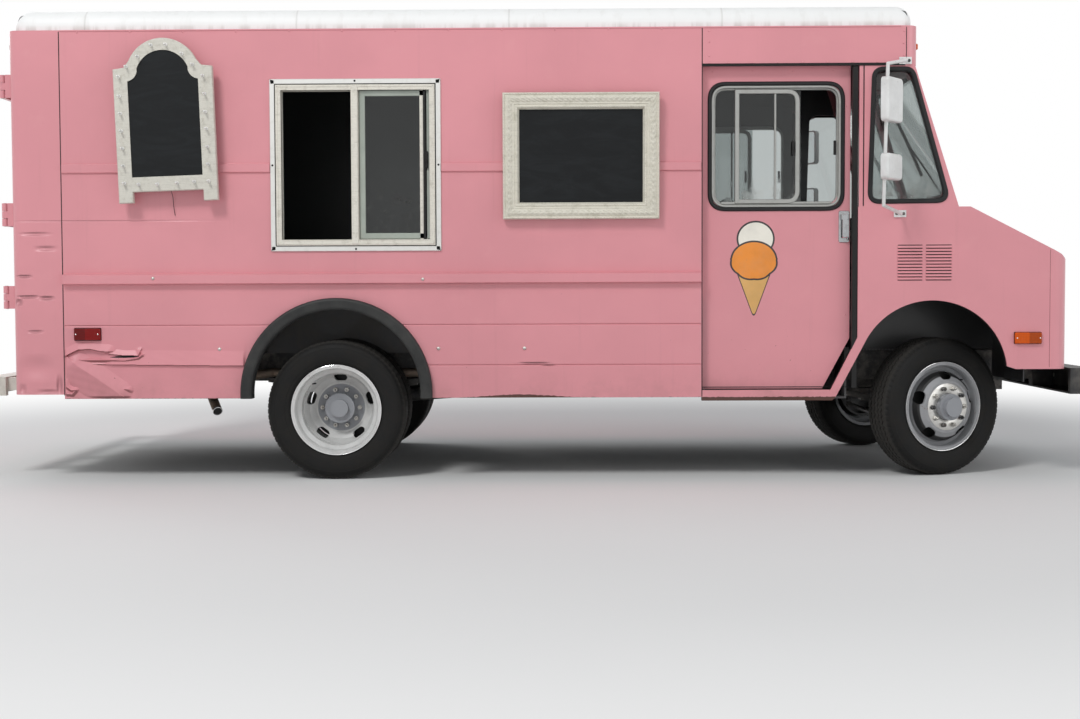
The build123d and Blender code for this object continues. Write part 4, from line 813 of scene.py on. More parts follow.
@dataclass(frozen=True)
class RoofPaint(Finish):
    """White roof paint, a little chalked, with faint run-off, lap seams and a dark ceiling."""

    name: str = "roof_white"
    colour: Colour = (0.88, 0.885, 0.875)
    ceiling: Colour = (0.06, 0.06, 0.062)
    seam_pitch: float = 1.22
    first_seam: float = -2.56
    crown: float = 0.028
    crown_foot: float = 2.694
    half_width: float = 1.1
    sheet: float = 0.001
    side: Point = (1.097, 1.1)
    rear: Point = (-2.956, -2.953)
    front: Point = (2.163, 2.166)

    def shade(self, shader: Shader) -> None:
        """White with faint streaks and lap seams, dark under the sheet.

        The sheet's height is crown (1 - (y / half width)^2) + crown foot."""
        streaks = shader.noise(1.0, 4, 0.6, shader.stretched((18, 18, 1.2)))
        low = shader.z.below(2.605, 2.64)
        chalk = shader.noise(2.0, 5, 0.6).above(0.4, 0.7) * 0.2
        base = shader.mix(chalk, self.colour, (0.76, 0.76, 0.74))
        base = shader.mix(streaks.above(0.5, 0.7) * 0.12, base, (0.55, 0.52, 0.48))
        base = shader.mix(low * streaks.above(0.42, 0.6) * 0.3, base, (0.36, 0.32, 0.28))
        seam = (shader.x + -self.first_seam).done("PINGPONG", self.seam_pitch / 2)
        seam = seam.below(0.003, 0.006)
        base = shader.mix(seam * 0.3, base, (0.45, 0.43, 0.4))
        arc = self.crown * (1 - (shader.y * (1 / self.half_width)) ** 2.0) + self.crown_foot
        under = (arc - shader.z).above(0.0, self.sheet) * abs(shader.y).below(*self.side)
        under = under * shader.x.above(*self.rear) * shader.x.below(*self.front)
        base = shader.mix(under, base, self.ceiling)
        shader.surface(Base_Color=base, Roughness=0.45 + streaks * 0.12)
        shader.bump(shader.noise(1.6, 3, 0.5) * 0.6 + seam * 0.25, 0.006, 0.6)


@dataclass(frozen=True)
class Rubber(Finish):
    """Black weathered rubber with a chalky bloom."""

    name: str
    colour: Colour = (0.018, 0.019, 0.019)
    bloom: Colour = (0.07, 0.07, 0.066)
    bloomed: float = 0.5

    def shade(self, shader: Shader) -> None:
        """Black with grey bloom where dust and sun have been."""
        film = shader.noise(5.0, 6, 0.65).above(0.38, 0.72) * self.bloomed
        shader.surface(
            Base_Color=shader.mix(film, self.colour, self.bloom),
            Roughness=0.5 + film * 0.3,
            Specular_IOR_Level=0.32,
        )
        shader.bump(shader.noise(220.0, 3, 0.6), 0.0006, 0.7)


@dataclass(frozen=True)
class TyreRubber(Finish):
    """Black road tyre: grey worn tread, brown dust on the walls, ribbed shoulders.

    It reads the tyre's own map: u runs round the wheel, v across its section."""

    name: str = "tyre_rubber"

    def shade(self, shader: Shader) -> None:
        """Tread by the section's middle, dust by noise, fine ribs by a wave."""
        across = shader.axes(shader.node("ShaderNodeUVMap", {"uv_map": "section"}).outputs[0])[1]
        tread = across.near(0.5, 0.2).above(0.0, 0.15)
        dust = shader.noise(14.0, 6, 0.7).above(0.35, 0.75)
        base = shader.mix(dust * 0.4, (0.008, 0.008, 0.008), (0.03, 0.027, 0.023))
        base = shader.mix(tread * 0.7, base, (0.045, 0.042, 0.038))
        shader.surface(Base_Color=base, Roughness=0.62 + dust * 0.2, Specular_IOR_Level=0.22)
        shader.bump(shader.noise(300.0, 3, 0.6) + shader.noise(40.0, 3, 0.6) * 0.5, 0.0007, 0.8)


@dataclass(frozen=True)
class WheelPaint(Finish):
    """Wheel enamel, chalked and stained, with a steel hub and a near-black drum behind it, partly
    soot and partly painted shade.

    The zones follow two distances: how far a point lies out along the axle
    from the wheel's middle, and how far it lies from the axle."""

    name: str
    colour: Colour
    middle: Point
    side: int
    turn: float = 0.0
    hub: Colour = (0.3, 0.31, 0.33)
    hub_radius: float = 0.139
    drum_face: Point = (0.112, 0.116)
    drum_radius: Point = (0.204, 0.208)

    def shade(self, shader: Shader) -> None:
        """Enamel with grey dust and rust chips, steel at the hub, near black on the drum for soot
        and painted shade.
        """
        angle = math.radians(self.turn)
        x, y, z = (value - at for value, at in zip((shader.x, shader.y, shader.z), self.middle))
        out = (y * math.cos(angle) - x * math.sin(angle)) * self.side
        radius = (x * x + y * y + z * z - out * out) ** 0.5
        dust = shader.noise(8.0, 6, 0.7).above(0.35, 0.72)
        base = shader.mix(dust * 0.35, self.colour, tinted(self.colour, 0.55))
        rust = shader.noise(55.0, 6, 0.72).above(0.6, 0.66)
        wide = shader.noise(4.0, 3, 0.5).above(0.45, 0.62)
        base = shader.mix(rust * wide * 0.6, base, (0.17, 0.075, 0.035))
        base = shader.mix(radius.below(self.hub_radius, self.hub_radius + 0.003), base, self.hub)
        # Near black behind the rim's holes: partly soot on the drum, partly painted shade.
        drum_soot_and_shade = out.below(*self.drum_face) * radius.below(*self.drum_radius)
        base = shader.mix(drum_soot_and_shade, base, (0.01, 0.01, 0.01))
        shader.surface(Base_Color=base, Roughness=0.38 + dust * 0.25 + rust * 0.2)
        shader.bump(shader.noise(160.0, 2, 0.5) * 0.4 - rust * wide, 0.0008, 0.6)


@dataclass(frozen=True)
class Metal(Finish):
    """Bare, plated or anodised metal with brushing, stains and oxide spots."""

    name: str
    colour: Colour
    stain: Colour = (0.22, 0.15, 0.1)
    roughness: float = 0.28
    stained: float = 0.25
    grain: Point = (3, 3, 60)

    def shade(self, shader: Shader) -> None:
        """Metal whose gloss follows a stretched grain and a cloudy film."""
        lines = shader.noise(8.0, 4, 0.6, shader.stretched(tuple(self.grain)))
        film = shader.noise(18.0, 5, 0.65).above(0.45, 0.75) * self.stained
        base = shader.mix(film, self.colour, self.stain)
        shader.surface(
            Base_Color=base,
            Metallic=1 - film * 0.8,
            Roughness=self.roughness + lines * 0.14 + film * 0.4,
        )
        shader.bump(lines, 0.0003, 0.4)


@dataclass(frozen=True)
class WindowGlass(Finish):
    """Flat glass with a faint film of dust along its lower edge."""

    name: str
    tint: Colour = (0.44, 0.475, 0.47)
    front_tint: Colour = (0.66, 0.7, 0.69)
    film_z: float = 1.62
    film_height: float = 0.16
    screen_side: Point = (0.985, 0.995)
    screen_foot: Point = (2.15, 2.155)

    def shade(self, shader: Shader) -> None:
        """Tinted glass, paler in the windshield, its gloss dulled by dust near the sill."""
        film = shader.z.below(self.film_z, self.film_z + self.film_height)
        dust = film * shader.noise(20, 4, 0.6).above(0.4, 0.7)
        front = abs(shader.y).below(*self.screen_side) * shader.x.above(*self.screen_foot)
        pane = shader.mix(front, self.tint, self.front_tint)
        shader.surface(
            Base_Color=shader.mix(dust * 0.3, pane, (0.6, 0.58, 0.54)),
            Roughness=0.03 + dust * 0.25,
            Transmission_Weight=1.0,
            IOR=1.45,
        )


@dataclass(frozen=True)
class LampLens(Finish):
    """Moulded lens with a grid of small prisms, darker over its reflector half."""

    name: str
    colour: Colour
    pitch: float = 0.009
    clear: float = 0.0
    split_x: Optional[float] = None
    split_side: int = 1

    def shade(self, shader: Shader) -> None:
        """Colour deeper between the prisms, relief from the three crossed waves."""
        waves = [axis.wave(self.pitch) for axis in (shader.x, shader.y, shader.z)]
        prisms = (waves[0] + waves[1] + waves[2]) * 0.25
        dust = shader.noise(30, 5, 0.6).above(0.5, 0.8)
        base = shader.mix(prisms.above(-0.3, 0.5), tinted(self.colour, 0.72), self.colour)
        if self.split_x is not None:
            half = ((shader.x - self.split_x) * self.split_side).above(0.0, 0.002)
            base = shader.mix(half * 0.55, base, tinted(self.colour, 0.25))
        shader.surface(
            Base_Color=shader.mix(dust * 0.04, base, (0.4, 0.33, 0.28)),
            Roughness=0.3 + dust * 0.2,
            Transmission_Weight=self.clear,
            Specular_IOR_Level=0.25,
        )
        shader.bump(prisms, 0.0008, 0.6)


@dataclass(frozen=True)
class ChalkBoard(Finish):
    """Black board, wiped many times, with grey chalk haze and no writing."""

    name: str = "black_board"

    def shade(self, shader: Shader) -> None:
        """Black with hazy arcs of wiped chalk."""
        arcs = shader.noise(3.0, 5, 0.65, shader.stretched((1.0, 1.0, 4.0), turn=(0, 18, 0)), 1.2)
        haze = arcs.above(0.42, 0.72)
        fine = shader.noise(70.0, 4, 0.7, shader.stretched((0.5, 1.0, 3.0), turn=(0, 18, 0)))
        base = shader.mix(haze * 0.45, (0.006, 0.007, 0.008), (0.028, 0.031, 0.033))
        base = shader.mix(fine.above(0.6, 0.8) * haze * 0.4, base, (0.09, 0.1, 0.1))
        shader.surface(Base_Color=base, Roughness=0.55 + haze * 0.25, Specular_IOR_Level=0.2)
        shader.bump(fine, 0.0003, 0.5)


@dataclass(frozen=True)
class CarvedPaint(Finish):
    """Cream paint on moulded wood, rubbed thin on high spots and dark in the cuts."""

    name: str
    colour: Colour
    shadow: Colour = (0.2, 0.17, 0.11)
    grain: float = 0.4

    def shade(self, shader: Shader) -> None:
        """Cream with brush marks, a brown wash and hairline cracks."""
        brush = shader.noise(6.0, 4, 0.6, shader.stretched((2, 2, 22)))
        wash = shader.noise(26.0, 6, 0.7).above(0.48, 0.74)
        cracks = shader.cell_edge(46.0).below(0.0, 0.02)
        base = shader.mix(brush.above(0.4, 0.7) * 0.5, self.colour, tinted(self.colour, 0.82))
        base = shader.mix(wash * 0.3, base, self.shadow)
        base = shader.mix(cracks * 0.22, base, self.shadow)
        shader.surface(Base_Color=base, Roughness=0.5 + wash * 0.2)
        shader.bump(brush * self.grain - cracks * 0.3, 0.0008, 0.7)


@dataclass(frozen=True)
class Vinyl(Finish):
    """Grained black seat vinyl with a worn sheen."""

    name: str
    colour: Colour = (0.022, 0.021, 0.022)

    def shade(self, shader: Shader) -> None:
        """Leather-like cells in relief, dulled in patches."""
        pores = shader.cell_edge(420.0).above(0.0, 0.12)
        wear = shader.noise(6.0, 4, 0.6).above(0.4, 0.7)
        shader.surface(
            Base_Color=shader.mix(wear, self.colour, tinted(self.colour, 2.1)),
            Roughness=0.42 + wear * 0.15,
        )
        shader.bump(pores + shader.noise(30, 3, 0.5) * 0.5, 0.0008, 0.7)


@dataclass(frozen=True)
class FloorSheet(Finish):
    """Dark chequered floor plate, dusty, over painted steel."""

    name: str = "floor_steel"
    pitch: float = 0.04

    def shade(self, shader: Shader) -> None:
        """Raised bars from two crossed waves, dust between them."""
        crossed = (shader.x + shader.y).wave(self.pitch) * (shader.x - shader.y).wave(self.pitch)
        bars = crossed.above(0.45, 0.8)
        dust = shader.noise(5.0, 6, 0.7).above(0.35, 0.7)
        base = shader.mix(dust * 0.5, (0.075, 0.075, 0.078), (0.16, 0.145, 0.125))
        base = shader.mix(bars * 0.35, base, (0.24, 0.24, 0.24))
        shader.surface(Base_Color=base, Roughness=0.5 + dust * 0.25 - bars * 0.1, Metallic=0.25)
        shader.bump(bars, 0.0015, 0.8)


@dataclass(frozen=True)
class StudioBackdrop(Finish):
    """Pale floor that glows white far from the truck, so that it has no horizon."""

    name: str = "studio_floor"
    colour: Colour = (0.8, 0.8, 0.79)
    near: float = 4.5
    far: float = 9.0

    def shade(self, shader: Shader) -> None:
        """A matt pale grey that turns to white light with the distance."""
        away = (shader.x * shader.x + shader.y * shader.y) ** 0.5
        glow = away.above(self.near, self.far)
        tone = shader.noise(0.35, 3, 0.5)
        base = shader.mix(tone.above(0.3, 0.7), tinted(self.colour, 0.985), self.colour)
        shader.surface(
            Base_Color=shader.mix(glow, base, (0.0, 0.0, 0.0)),
            Emission_Color=shader.mix(glow, (0.0, 0.0, 0.0), (1.0, 1.0, 1.0)),
            Emission_Strength=1.0,
            Specular_IOR_Level=0.0,
            Roughness=0.85,
        )


PINK = BodyPaint()
PINK_DOOR = BodyPaint("pink_door", Skin.SLIDING_DOOR)
PINK_LEAF = BodyPaint("pink_leaf", Skin.REAR_DOOR)
PINK_PLAIN = BodyPaint("pink_paint_plain", Skin.TRIM)
PINK_SHADE = BodyPaint("pink_shade", Skin.TRIM, (0.3, 0.105, 0.115))
# The crumpled sheet: dull, with dark red-brown on faces that point down, partly dirt and partly
# painted shade.
PINK_DULL = BodyPaint("pink_dull", Skin.TRIM, gloss=0.05, dirt_and_shade_below=0.75)
ROOF_WHITE = RoofPaint()
BLACK_FRAME = PlainPaint("frame_black", (0.022, 0.022, 0.024), wear=(0.1, 0.055, 0.03), dusty=0.45)
BUMPER_BLACK, GRILLE_BLACK = (
    PlainPaint(
        name, (0.016, 0.016, 0.017), (0.05, 0.045, 0.04), roughness=0.5, worn=worn, dusty=0.15
    )
    for name, worn in (("bumper_black", 0.35), ("grille_black", 0.3))
)
AXLE_BLACK = PlainPaint("axle_steel", (0.035, 0.035, 0.037), wear=(0.13, 0.07, 0.04), dusty=0.5)
SPRING_BLACK = PlainPaint("spring_steel", (0.04, 0.038, 0.036), wear=(0.15, 0.075, 0.04), worn=0.9)
ENGINE_IRON = PlainPaint(
    "engine_iron", (0.055, 0.055, 0.058), roughness=0.55, dusty=0.6, metallic=0.3
)
STEP_CREAM = PlainPaint("cream_paint", (0.62, 0.6, 0.54), (0.16, 0.08, 0.04), worn=0.8, dusty=0.5)
MIRROR_WHITE = PlainPaint(
    "mirror_white", (0.72, 0.725, 0.715), (0.28, 0.26, 0.24), roughness=0.3, dusty=0.12
)
DASH_BLACK = PlainPaint("dash_black", (0.03, 0.03, 0.032), wear=(0.08, 0.08, 0.08), roughness=0.6)
WHEEL_GRIP = PlainPaint("wheel_plastic", (0.018, 0.018, 0.019), (0.06, 0.06, 0.06), roughness=0.5)
FLARE_RUBBER = Rubber("rubber")
TRIM_RUBBER = Rubber("trim_rubber", (0.009, 0.009, 0.01), (0.045, 0.045, 0.043), 0.18)
TYRE_BLACK = TyreRubber()
WHITE_ENAMEL = (0.66, 0.66, 0.645)
GREY_ENAMEL = (0.34, 0.345, 0.355)
REAR_AXLE_X = -1.14
AXLE_Z = 0.406
STEERED_BY = 22.5  # degrees, to the left
OUTER_TWIN = 0.9875
INNER_TWIN = 0.7215
RIM_REAR_RIGHT, RIM_REAR_LEFT = (
    WheelPaint(f"rim_rear_{name}", WHITE_ENAMEL, (REAR_AXLE_X, side * INNER_TWIN, AXLE_Z), side)
    for name, side in (("right", -1), ("left", 1))
)
RIM_FRONT_RIGHT, RIM_FRONT_LEFT = (
    WheelPaint(
        f"rim_front_{name}", GREY_ENAMEL, (x, side * 0.8493, AXLE_Z), side, STEERED_BY,
        hub_radius=0.079,
    )
    for name, side, x in (("right", -1, 2.3936), ("left", 1, 2.2864))
)
HUB_STEEL = Metal("hub_steel", (0.7, 0.69, 0.66), (0.35, 0.32, 0.28), 0.3, 0.35, (4, 4, 4))
PIPE_STEEL = Metal("pipe_steel", (0.25, 0.2, 0.16), stained=0.9, roughness=0.5)
NUT_STEEL = Metal("nut_steel", (0.55, 0.54, 0.51), (0.25, 0.18, 0.12), 0.32, 0.35)
ALUMINIUM = Metal("window_aluminium", (0.66, 0.66, 0.64), stain=(0.42, 0.4, 0.35), roughness=0.36)
SASH_GREY = Metal("sash_aluminium", (0.37, 0.375, 0.36), stain=(0.22, 0.21, 0.18), roughness=0.38)
CHROME = Metal("chrome", (0.82, 0.82, 0.82), roughness=0.08, stained=0.12, grain=(1, 1, 1))
DARK_CHROME = Metal("dark_chrome", (0.4, 0.41, 0.42), (0.1, 0.09, 0.08), 0.1, 0.3, (2, 2, 2))
GALLEY_STEEL = Metal("galley_steel", (0.56, 0.56, 0.56), stain=(0.36, 0.34, 0.31), roughness=0.3)
MIRROR_GLASS = Metal(
    "mirror_glass", (0.86, 0.87, 0.88), roughness=0.02, stained=0.03, grain=(1, 1, 1)
)
CREAM_SLIDER = CarvedPaint("cream_slider", (0.74, 0.71, 0.63), grain=0.1)
SIGN_CREAM = CarvedPaint("cream_wood", (0.64, 0.62, 0.55))
MENU_IVORY = CarvedPaint("ivory_moulding", (0.7, 0.67, 0.575), shadow=(0.24, 0.22, 0.13))
BOARD_BLACK = ChalkBoard()
CLEAR_GLASS = WindowGlass("clear_glass")
LENS_CLEAR = LampLens("lamp_glass", (0.8, 0.82, 0.82), clear=0.8)
LENS_AMBER = LampLens("lens_amber", (0.8, 0.115, 0.001), split_x=2.858)
LENS_RED = LampLens("lens_red", (0.26, 0.001, 0.001), split_x=-2.575, split_side=-1)
SEAT_VINYL = Vinyl("seat_vinyl")
FLOOR_DARK = FloorSheet()
SEAM_BLACK = Rubber("seam_black", colour=(0.006, 0.006, 0.006), bloomed=0.05)
SASH_GREEN = PlainPaint(
    "sash_green", (0.36, 0.4, 0.35), (0.22, 0.22, 0.2), roughness=0.35, dusty=0.15
)
PLATE_WHITE = PlainPaint("plate_white", (0.62, 0.62, 0.6), roughness=0.4, dusty=0.35)
PEG_WHITE = PlainPaint("peg_white", (0.8, 0.8, 0.77), wear=(0.35, 0.33, 0.28), dusty=0.1)
DECAL_DARK, DECAL_CONE, DECAL_CREAM, DECAL_ORANGE = (
    PlainPaint(f"decal_{name}", colour, roughness=0.35, worn=0.2, dusty=0.1)
    for name, colour in (
        ("dark", (0.03, 0.026, 0.028)),
        ("cone", (0.7, 0.4, 0.13)),
        ("cream", (0.82, 0.79, 0.7)),
        ("orange", (0.8, 0.27, 0.035)),
    )
)


# Putting pieces into the scene


@dataclass(frozen=True)
class Seat:
    """Where a piece belongs: its body, its material slot and the nodes it stands for."""

    body: str = "root"
    slot: str = "pink_paint"
    replaces: Sequence[str] = ()


PANEL = Seat()
RUBBER = Seat(slot="rubber")
ALLOY = Seat(slot="window_aluminium")
IVORY = Seat(slot="ivory_moulding")
STEEL = Seat(slot="galley_steel")
PLASTIC = Seat(slot="marker_plastic")
CAB_BLACK = Seat(slot="dash_black")

SLIDING_DOORS = ("right_sliding_door", "left_sliding_door")
REAR_DOORS = ("right_rear_door", "left_rear_door")
SHARP = 38.0  # degrees from which two faces meet in a hard edge
NODE_SHARP = 32.0
MERGE = 1e-5


def build(
    name: str,
    surface: Surface,
    finish: Finish,
    seat: Seat,
    sharp: float = SHARP,
    section: Optional[Array] = None,
) -> bpy.types.Object:
    """Make one piece from a surface.

    Args:
        name: name of the piece.
        surface: its points and faces.
        finish: its material.
        seat: body, slot and replaced nodes.
        sharp: faces that meet at more than this many degrees keep a hard edge.
        section: map coordinates of every corner of every quad, where it has a map.

    Returns:
        The new object, at the origin, riding on its body.
    """
    mesh = bpy.data.meshes.new(name)
    corners = np.concatenate([surface.quads.ravel(), surface.triangles.ravel()])
    sizes = np.concatenate([np.full(len(surface.quads), 4), np.full(len(surface.triangles), 3)])
    mesh.vertices.add(len(surface.points))
    mesh.vertices.foreach_set("co", surface.points.astype(np.float32).ravel())
    mesh.loops.add(len(corners))
    mesh.loops.foreach_set("vertex_index", corners.astype(np.int32))
    mesh.polygons.add(len(sizes))
    mesh.polygons.foreach_set("loop_start", (np.cumsum(sizes) - sizes).astype(np.int32))
    mesh.polygons.foreach_set("loop_total", sizes.astype(np.int32))
    mesh.update(calc_edges=True)
    if section is not None:
        layer = mesh.uv_layers.new(name="section")
        layer.data.foreach_set("uv", section.astype(np.float32).ravel())
    shell = bmesh.new()
    shell.from_mesh(mesh)
    bmesh.ops.remove_doubles(shell, verts=shell.verts, dist=MERGE)
    bmesh.ops.recalc_face_normals(shell, faces=shell.faces)
    shell.to_mesh(mesh)
    shell.free()
    mesh.polygons.foreach_set("use_smooth", np.ones(len(mesh.polygons), bool))
    mesh.set_sharp_from_angle(angle=math.radians(sharp))
    mesh.materials.append(finish.material())
    made = bpy.data.objects.new(name, mesh)
    bpy.context.scene.collection.objects.link(made)
    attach(made, seat.body)
    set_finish(made, seat.slot)
    if seat.replaces:
        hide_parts(*seat.replaces)
    LOG.info("piece %s on %s", name, seat.body)
    return made


class Dressing:
    """Gives every carried-over CAD node its finish."""

    finishes: Mapping[Finish, Sequence[str]] = {
        PINK: ("left_wall", "right_wall", "cab_frame", "rear_frame", "hood", "nose"),
        PINK_DOOR: ("left_door", "right_door"),
        PINK_LEAF: ("left_rear_door", "right_rear_door"),
        ROOF_WHITE: ("roof",),
        BLACK_FRAME: ("frame_rails", "cross_members", "spring_hangers"),
        BUMPER_BLACK: ("front_bumper",),
        FLOOR_DARK: ("floor",),
        STEP_CREAM: ("rear_bumper",),
        ENGINE_IRON: ("drive_line",),
        AXLE_BLACK: ("front_axle", "left_knuckle", "right_knuckle", "tie_rod", "rear_axle"),
        SPRING_BLACK: ("leaf_springs", "fuel_tank"),
        PIPE_STEEL: ("exhaust",),
        RIM_REAR_RIGHT: ("right_rear_rims",),
        RIM_REAR_LEFT: ("left_rear_rims",),
        RIM_FRONT_RIGHT: ("right_front_rim",),
        RIM_FRONT_LEFT: ("left_front_rim",),
        FLARE_RUBBER: ("arch_flares",),
        CLEAR_GLASS: ("fixed_glass", "left_door_glass", "right_door_glass"),
        LENS_CLEAR: ("head_lamps",),
        SEAM_BLACK: ("marker_lamps",),
        GRILLE_BLACK: ("grille",),
        MIRROR_WHITE: ("mirrors",),
        CREAM_SLIDER: ("serving_window",),
        SIGN_CREAM: ("sign_board",),
        MENU_IVORY: ("menu_board",),
        DASH_BLACK: ("dashboard",),
        WHEEL_GRIP: ("steering_wheel",),
        SEAT_VINYL: ("driver_seat",),
        GALLEY_STEEL: ("galley",),
        TRIM_RUBBER: ("left_front_tyre", "right_front_tyre", "left_rear_tyres", "right_rear_tyres"),
    }

    def build(self) -> None:
        """Set the finish and smooth shading of each node."""
        for finish, names in self.finishes.items():
            for name in names:
                mesh = frame["nodes"][name].data
                mesh.materials.clear()
                mesh.materials.append(finish.material())
                mesh.polygons.foreach_set("material_index", np.zeros(len(mesh.polygons), np.int32))
                mesh.polygons.foreach_set("use_smooth", np.ones(len(mesh.polygons), bool))
                mesh.set_sharp_from_angle(angle=math.radians(NODE_SHARP))


def strip_section(inside: float, width: float, low: float, high: float, edge: float) -> Array:
    """Section of a flat strip with two bevelled front edges.

    Args:
        inside: distance of the strip's outer side from the path, inward positive.
        width: width of the strip.
        low: its back, from the path's plane.
        high: its front.
        edge: size of the bevels.

    Returns:
        Six points (inward, outward) against the clock.
    """
    far = inside + width
    front = [(far, high - edge), (far - edge, high), (inside + edge, high), (inside, high - edge)]
    return np.array([(inside, low), (far, low), *front])


def wall_ring(outline: Array, y: float, *section: float) -> Surface:
    """Strip round a closed outline on the right side, its zero plane at -y."""
    return sweep(strip_section(*section), on_wall(outline, -y), True, OUTWARD)


def build_pair(
    name: str, surface: Surface, finish: Finish, bodies: Sequence[str], slot: str
) -> None:
    """The same piece on the right side and, mirrored, on the left."""
    build(f"right_{name}", surface, finish, Seat(bodies[0], slot))
    build(f"left_{name}", surface.mirrored(), finish, Seat(bodies[1], slot))


@dataclass(frozen=True)
class WheelPlace:
    """Place of one wheel: its body, its middle and its turn, local +X along its axle."""

    name: str
    body: str
    side: int
    outward: int = 1
    track: float = OUTER_TWIN
    steered: bool = False
    kingpin: Point = (2.34, 0.72)
    offset: float = 0.14

    def put(self, surface: Surface) -> Surface:
        """Move a surface from the wheel's own frame to its place on the truck."""
        spin = turn_about("Z", self.side * 90 * self.outward)
        if not self.steered:
            return surface.placed(spin, (REAR_AXLE_X, self.side * self.track, AXLE_Z))
        out = surface.placed(spin, (0, self.side * self.offset, 0))
        x, y = self.kingpin
        return out.placed(turn_about("Z", STEERED_BY), (x, self.side * y, AXLE_Z))


WHEELS = (
    WheelPlace("right_front", "right_front_wheel", -1, steered=True),
    WheelPlace("left_front", "left_front_wheel", 1, steered=True),
    WheelPlace("right_rear", "right_rear_wheels", -1, -1),
    WheelPlace("right_rear", "right_rear_wheels", -1, 1, INNER_TWIN),
    WheelPlace("left_rear", "left_rear_wheels", 1, -1),
    WheelPlace("left_rear", "left_rear_wheels", 1, 1, INNER_TWIN),
)


@dataclass(frozen=True)
class Tyres:
    """Road tyres with four zig-zag grooves, notched shoulders and ringed walls.

    A tyre is a grid: rows across its section, columns round the wheel. Its
    tread rows move sideways by swing times a triangle wave, so the grooves run
    in zig-zag; at one column in four the shoulder rows sink, which cuts the
    notches."""

    radius: float = 0.406
    waves: int = 72
    swing: float = 0.0058
    groove_depth: float = 0.0105
    groove_half: float = 0.0048
    grooves: Point = (0.051, 0.017, -0.017, -0.051)
    notch: float = 0.005
    crown_drop: float = 0.0018
    crown_half: float = 0.079
    wall: Sequence[Point] = (
        # half width, radius
        (0.079, 0.2487), (0.088, 0.2665), (0.0955, 0.2735), (0.101, 0.28), (0.1024, 0.2815),
        (0.104, 0.29), (0.106, 0.299), (0.1078, 0.3), (0.1085, 0.303), (0.1098, 0.318),
        (0.1112, 0.333), (0.1108, 0.348), (0.1092, 0.36), (0.1104, 0.3615), (0.1098, 0.364),
        (0.1068, 0.372), (0.1022, 0.381), (0.0985, 0.386),
    )
    shoulder: Sequence[Point] = (
        (0.096, 0.388), (0.09, 0.395), (0.084, 0.4015), (0.079, 0.4038),
    )

    def section(self) -> Array:
        """Rows across the tyre: place along the axle, radius, swing and notch shares."""
        outer = [(x, r, 0.0, 0.0) for x, r in self.wall]
        outer += [(x, r, 0.0, 1.0) for x, r in self.shoulder]
        tread = []
        for middle in self.grooves:
            for offset, sunk in ((1.0, 0), (0.75, 1), (-0.75, 1), (-1.0, 0)):
                x = middle + offset * self.groove_half
                crown = self.radius - self.crown_drop * (x / self.crown_half) ** 2
                tread.append((x, crown - sunk * self.groove_depth, 1.0, 0.0))
        inner = [(-x, r, zig, notch) for x, r, zig, notch in reversed(outer)]
        return np.array(outer + tread + inner)

    def tyre(self) -> Surface:
        """One tyre about the X axis, closed between its beads."""
        rows = self.section()
        columns = self.waves * 4
        angle = np.arange(columns) * TAU / columns
        zig = np.array([0.0, 1.0, 0.0, -1.0])[np.arange(columns) % 4] * self.swing
        cut = np.array([0.0, 1.0, 0.0, 0.35])[np.arange(columns) % 4] * self.notch
        along = rows[:, :1] + rows[:, 2:3] * zig
        radius = rows[:, 1:2] - rows[:, 3:4] * cut
        points = np.stack([along, radius * np.cos(angle), radius * np.sin(angle)], axis=-1)
        return Surface.grid(points, wrap_rows=True, wrap_columns=True)

    def map(self) -> Array:
        """Corner coordinates of the tyre's quads: u round it, v across it."""
        rows, columns = len(self.section()), self.waves * 4
        v, u = np.meshgrid(np.arange(rows), np.arange(columns), indexing="ij")
        steps = ((0, 0), (1, 0), (1, 1), (0, 1))
        corners = np.stack([np.stack([u + a, v + b], -1) for a, b in steps], axis=2)
        return corners.reshape(-1, 2) / (columns, rows)

    def build(self) -> None:
        """Four pieces, in place of the four tyre nodes."""
        tyre, section = self.tyre(), self.map()
        for node in ("right_front_tyre", "left_front_tyre", "right_rear_tyres", "left_rear_tyres"):
            places = [place for place in WHEELS if node.startswith(place.name)]
            surface = Surface.joined(place.put(tyre) for place in places)
            seat = Seat(places[0].body, "tyre_rubber", (node,))
            maps = np.concatenate([section] * len(places))
            build(f"{node}_treaded", surface, TYRE_BLACK, seat, section=maps)


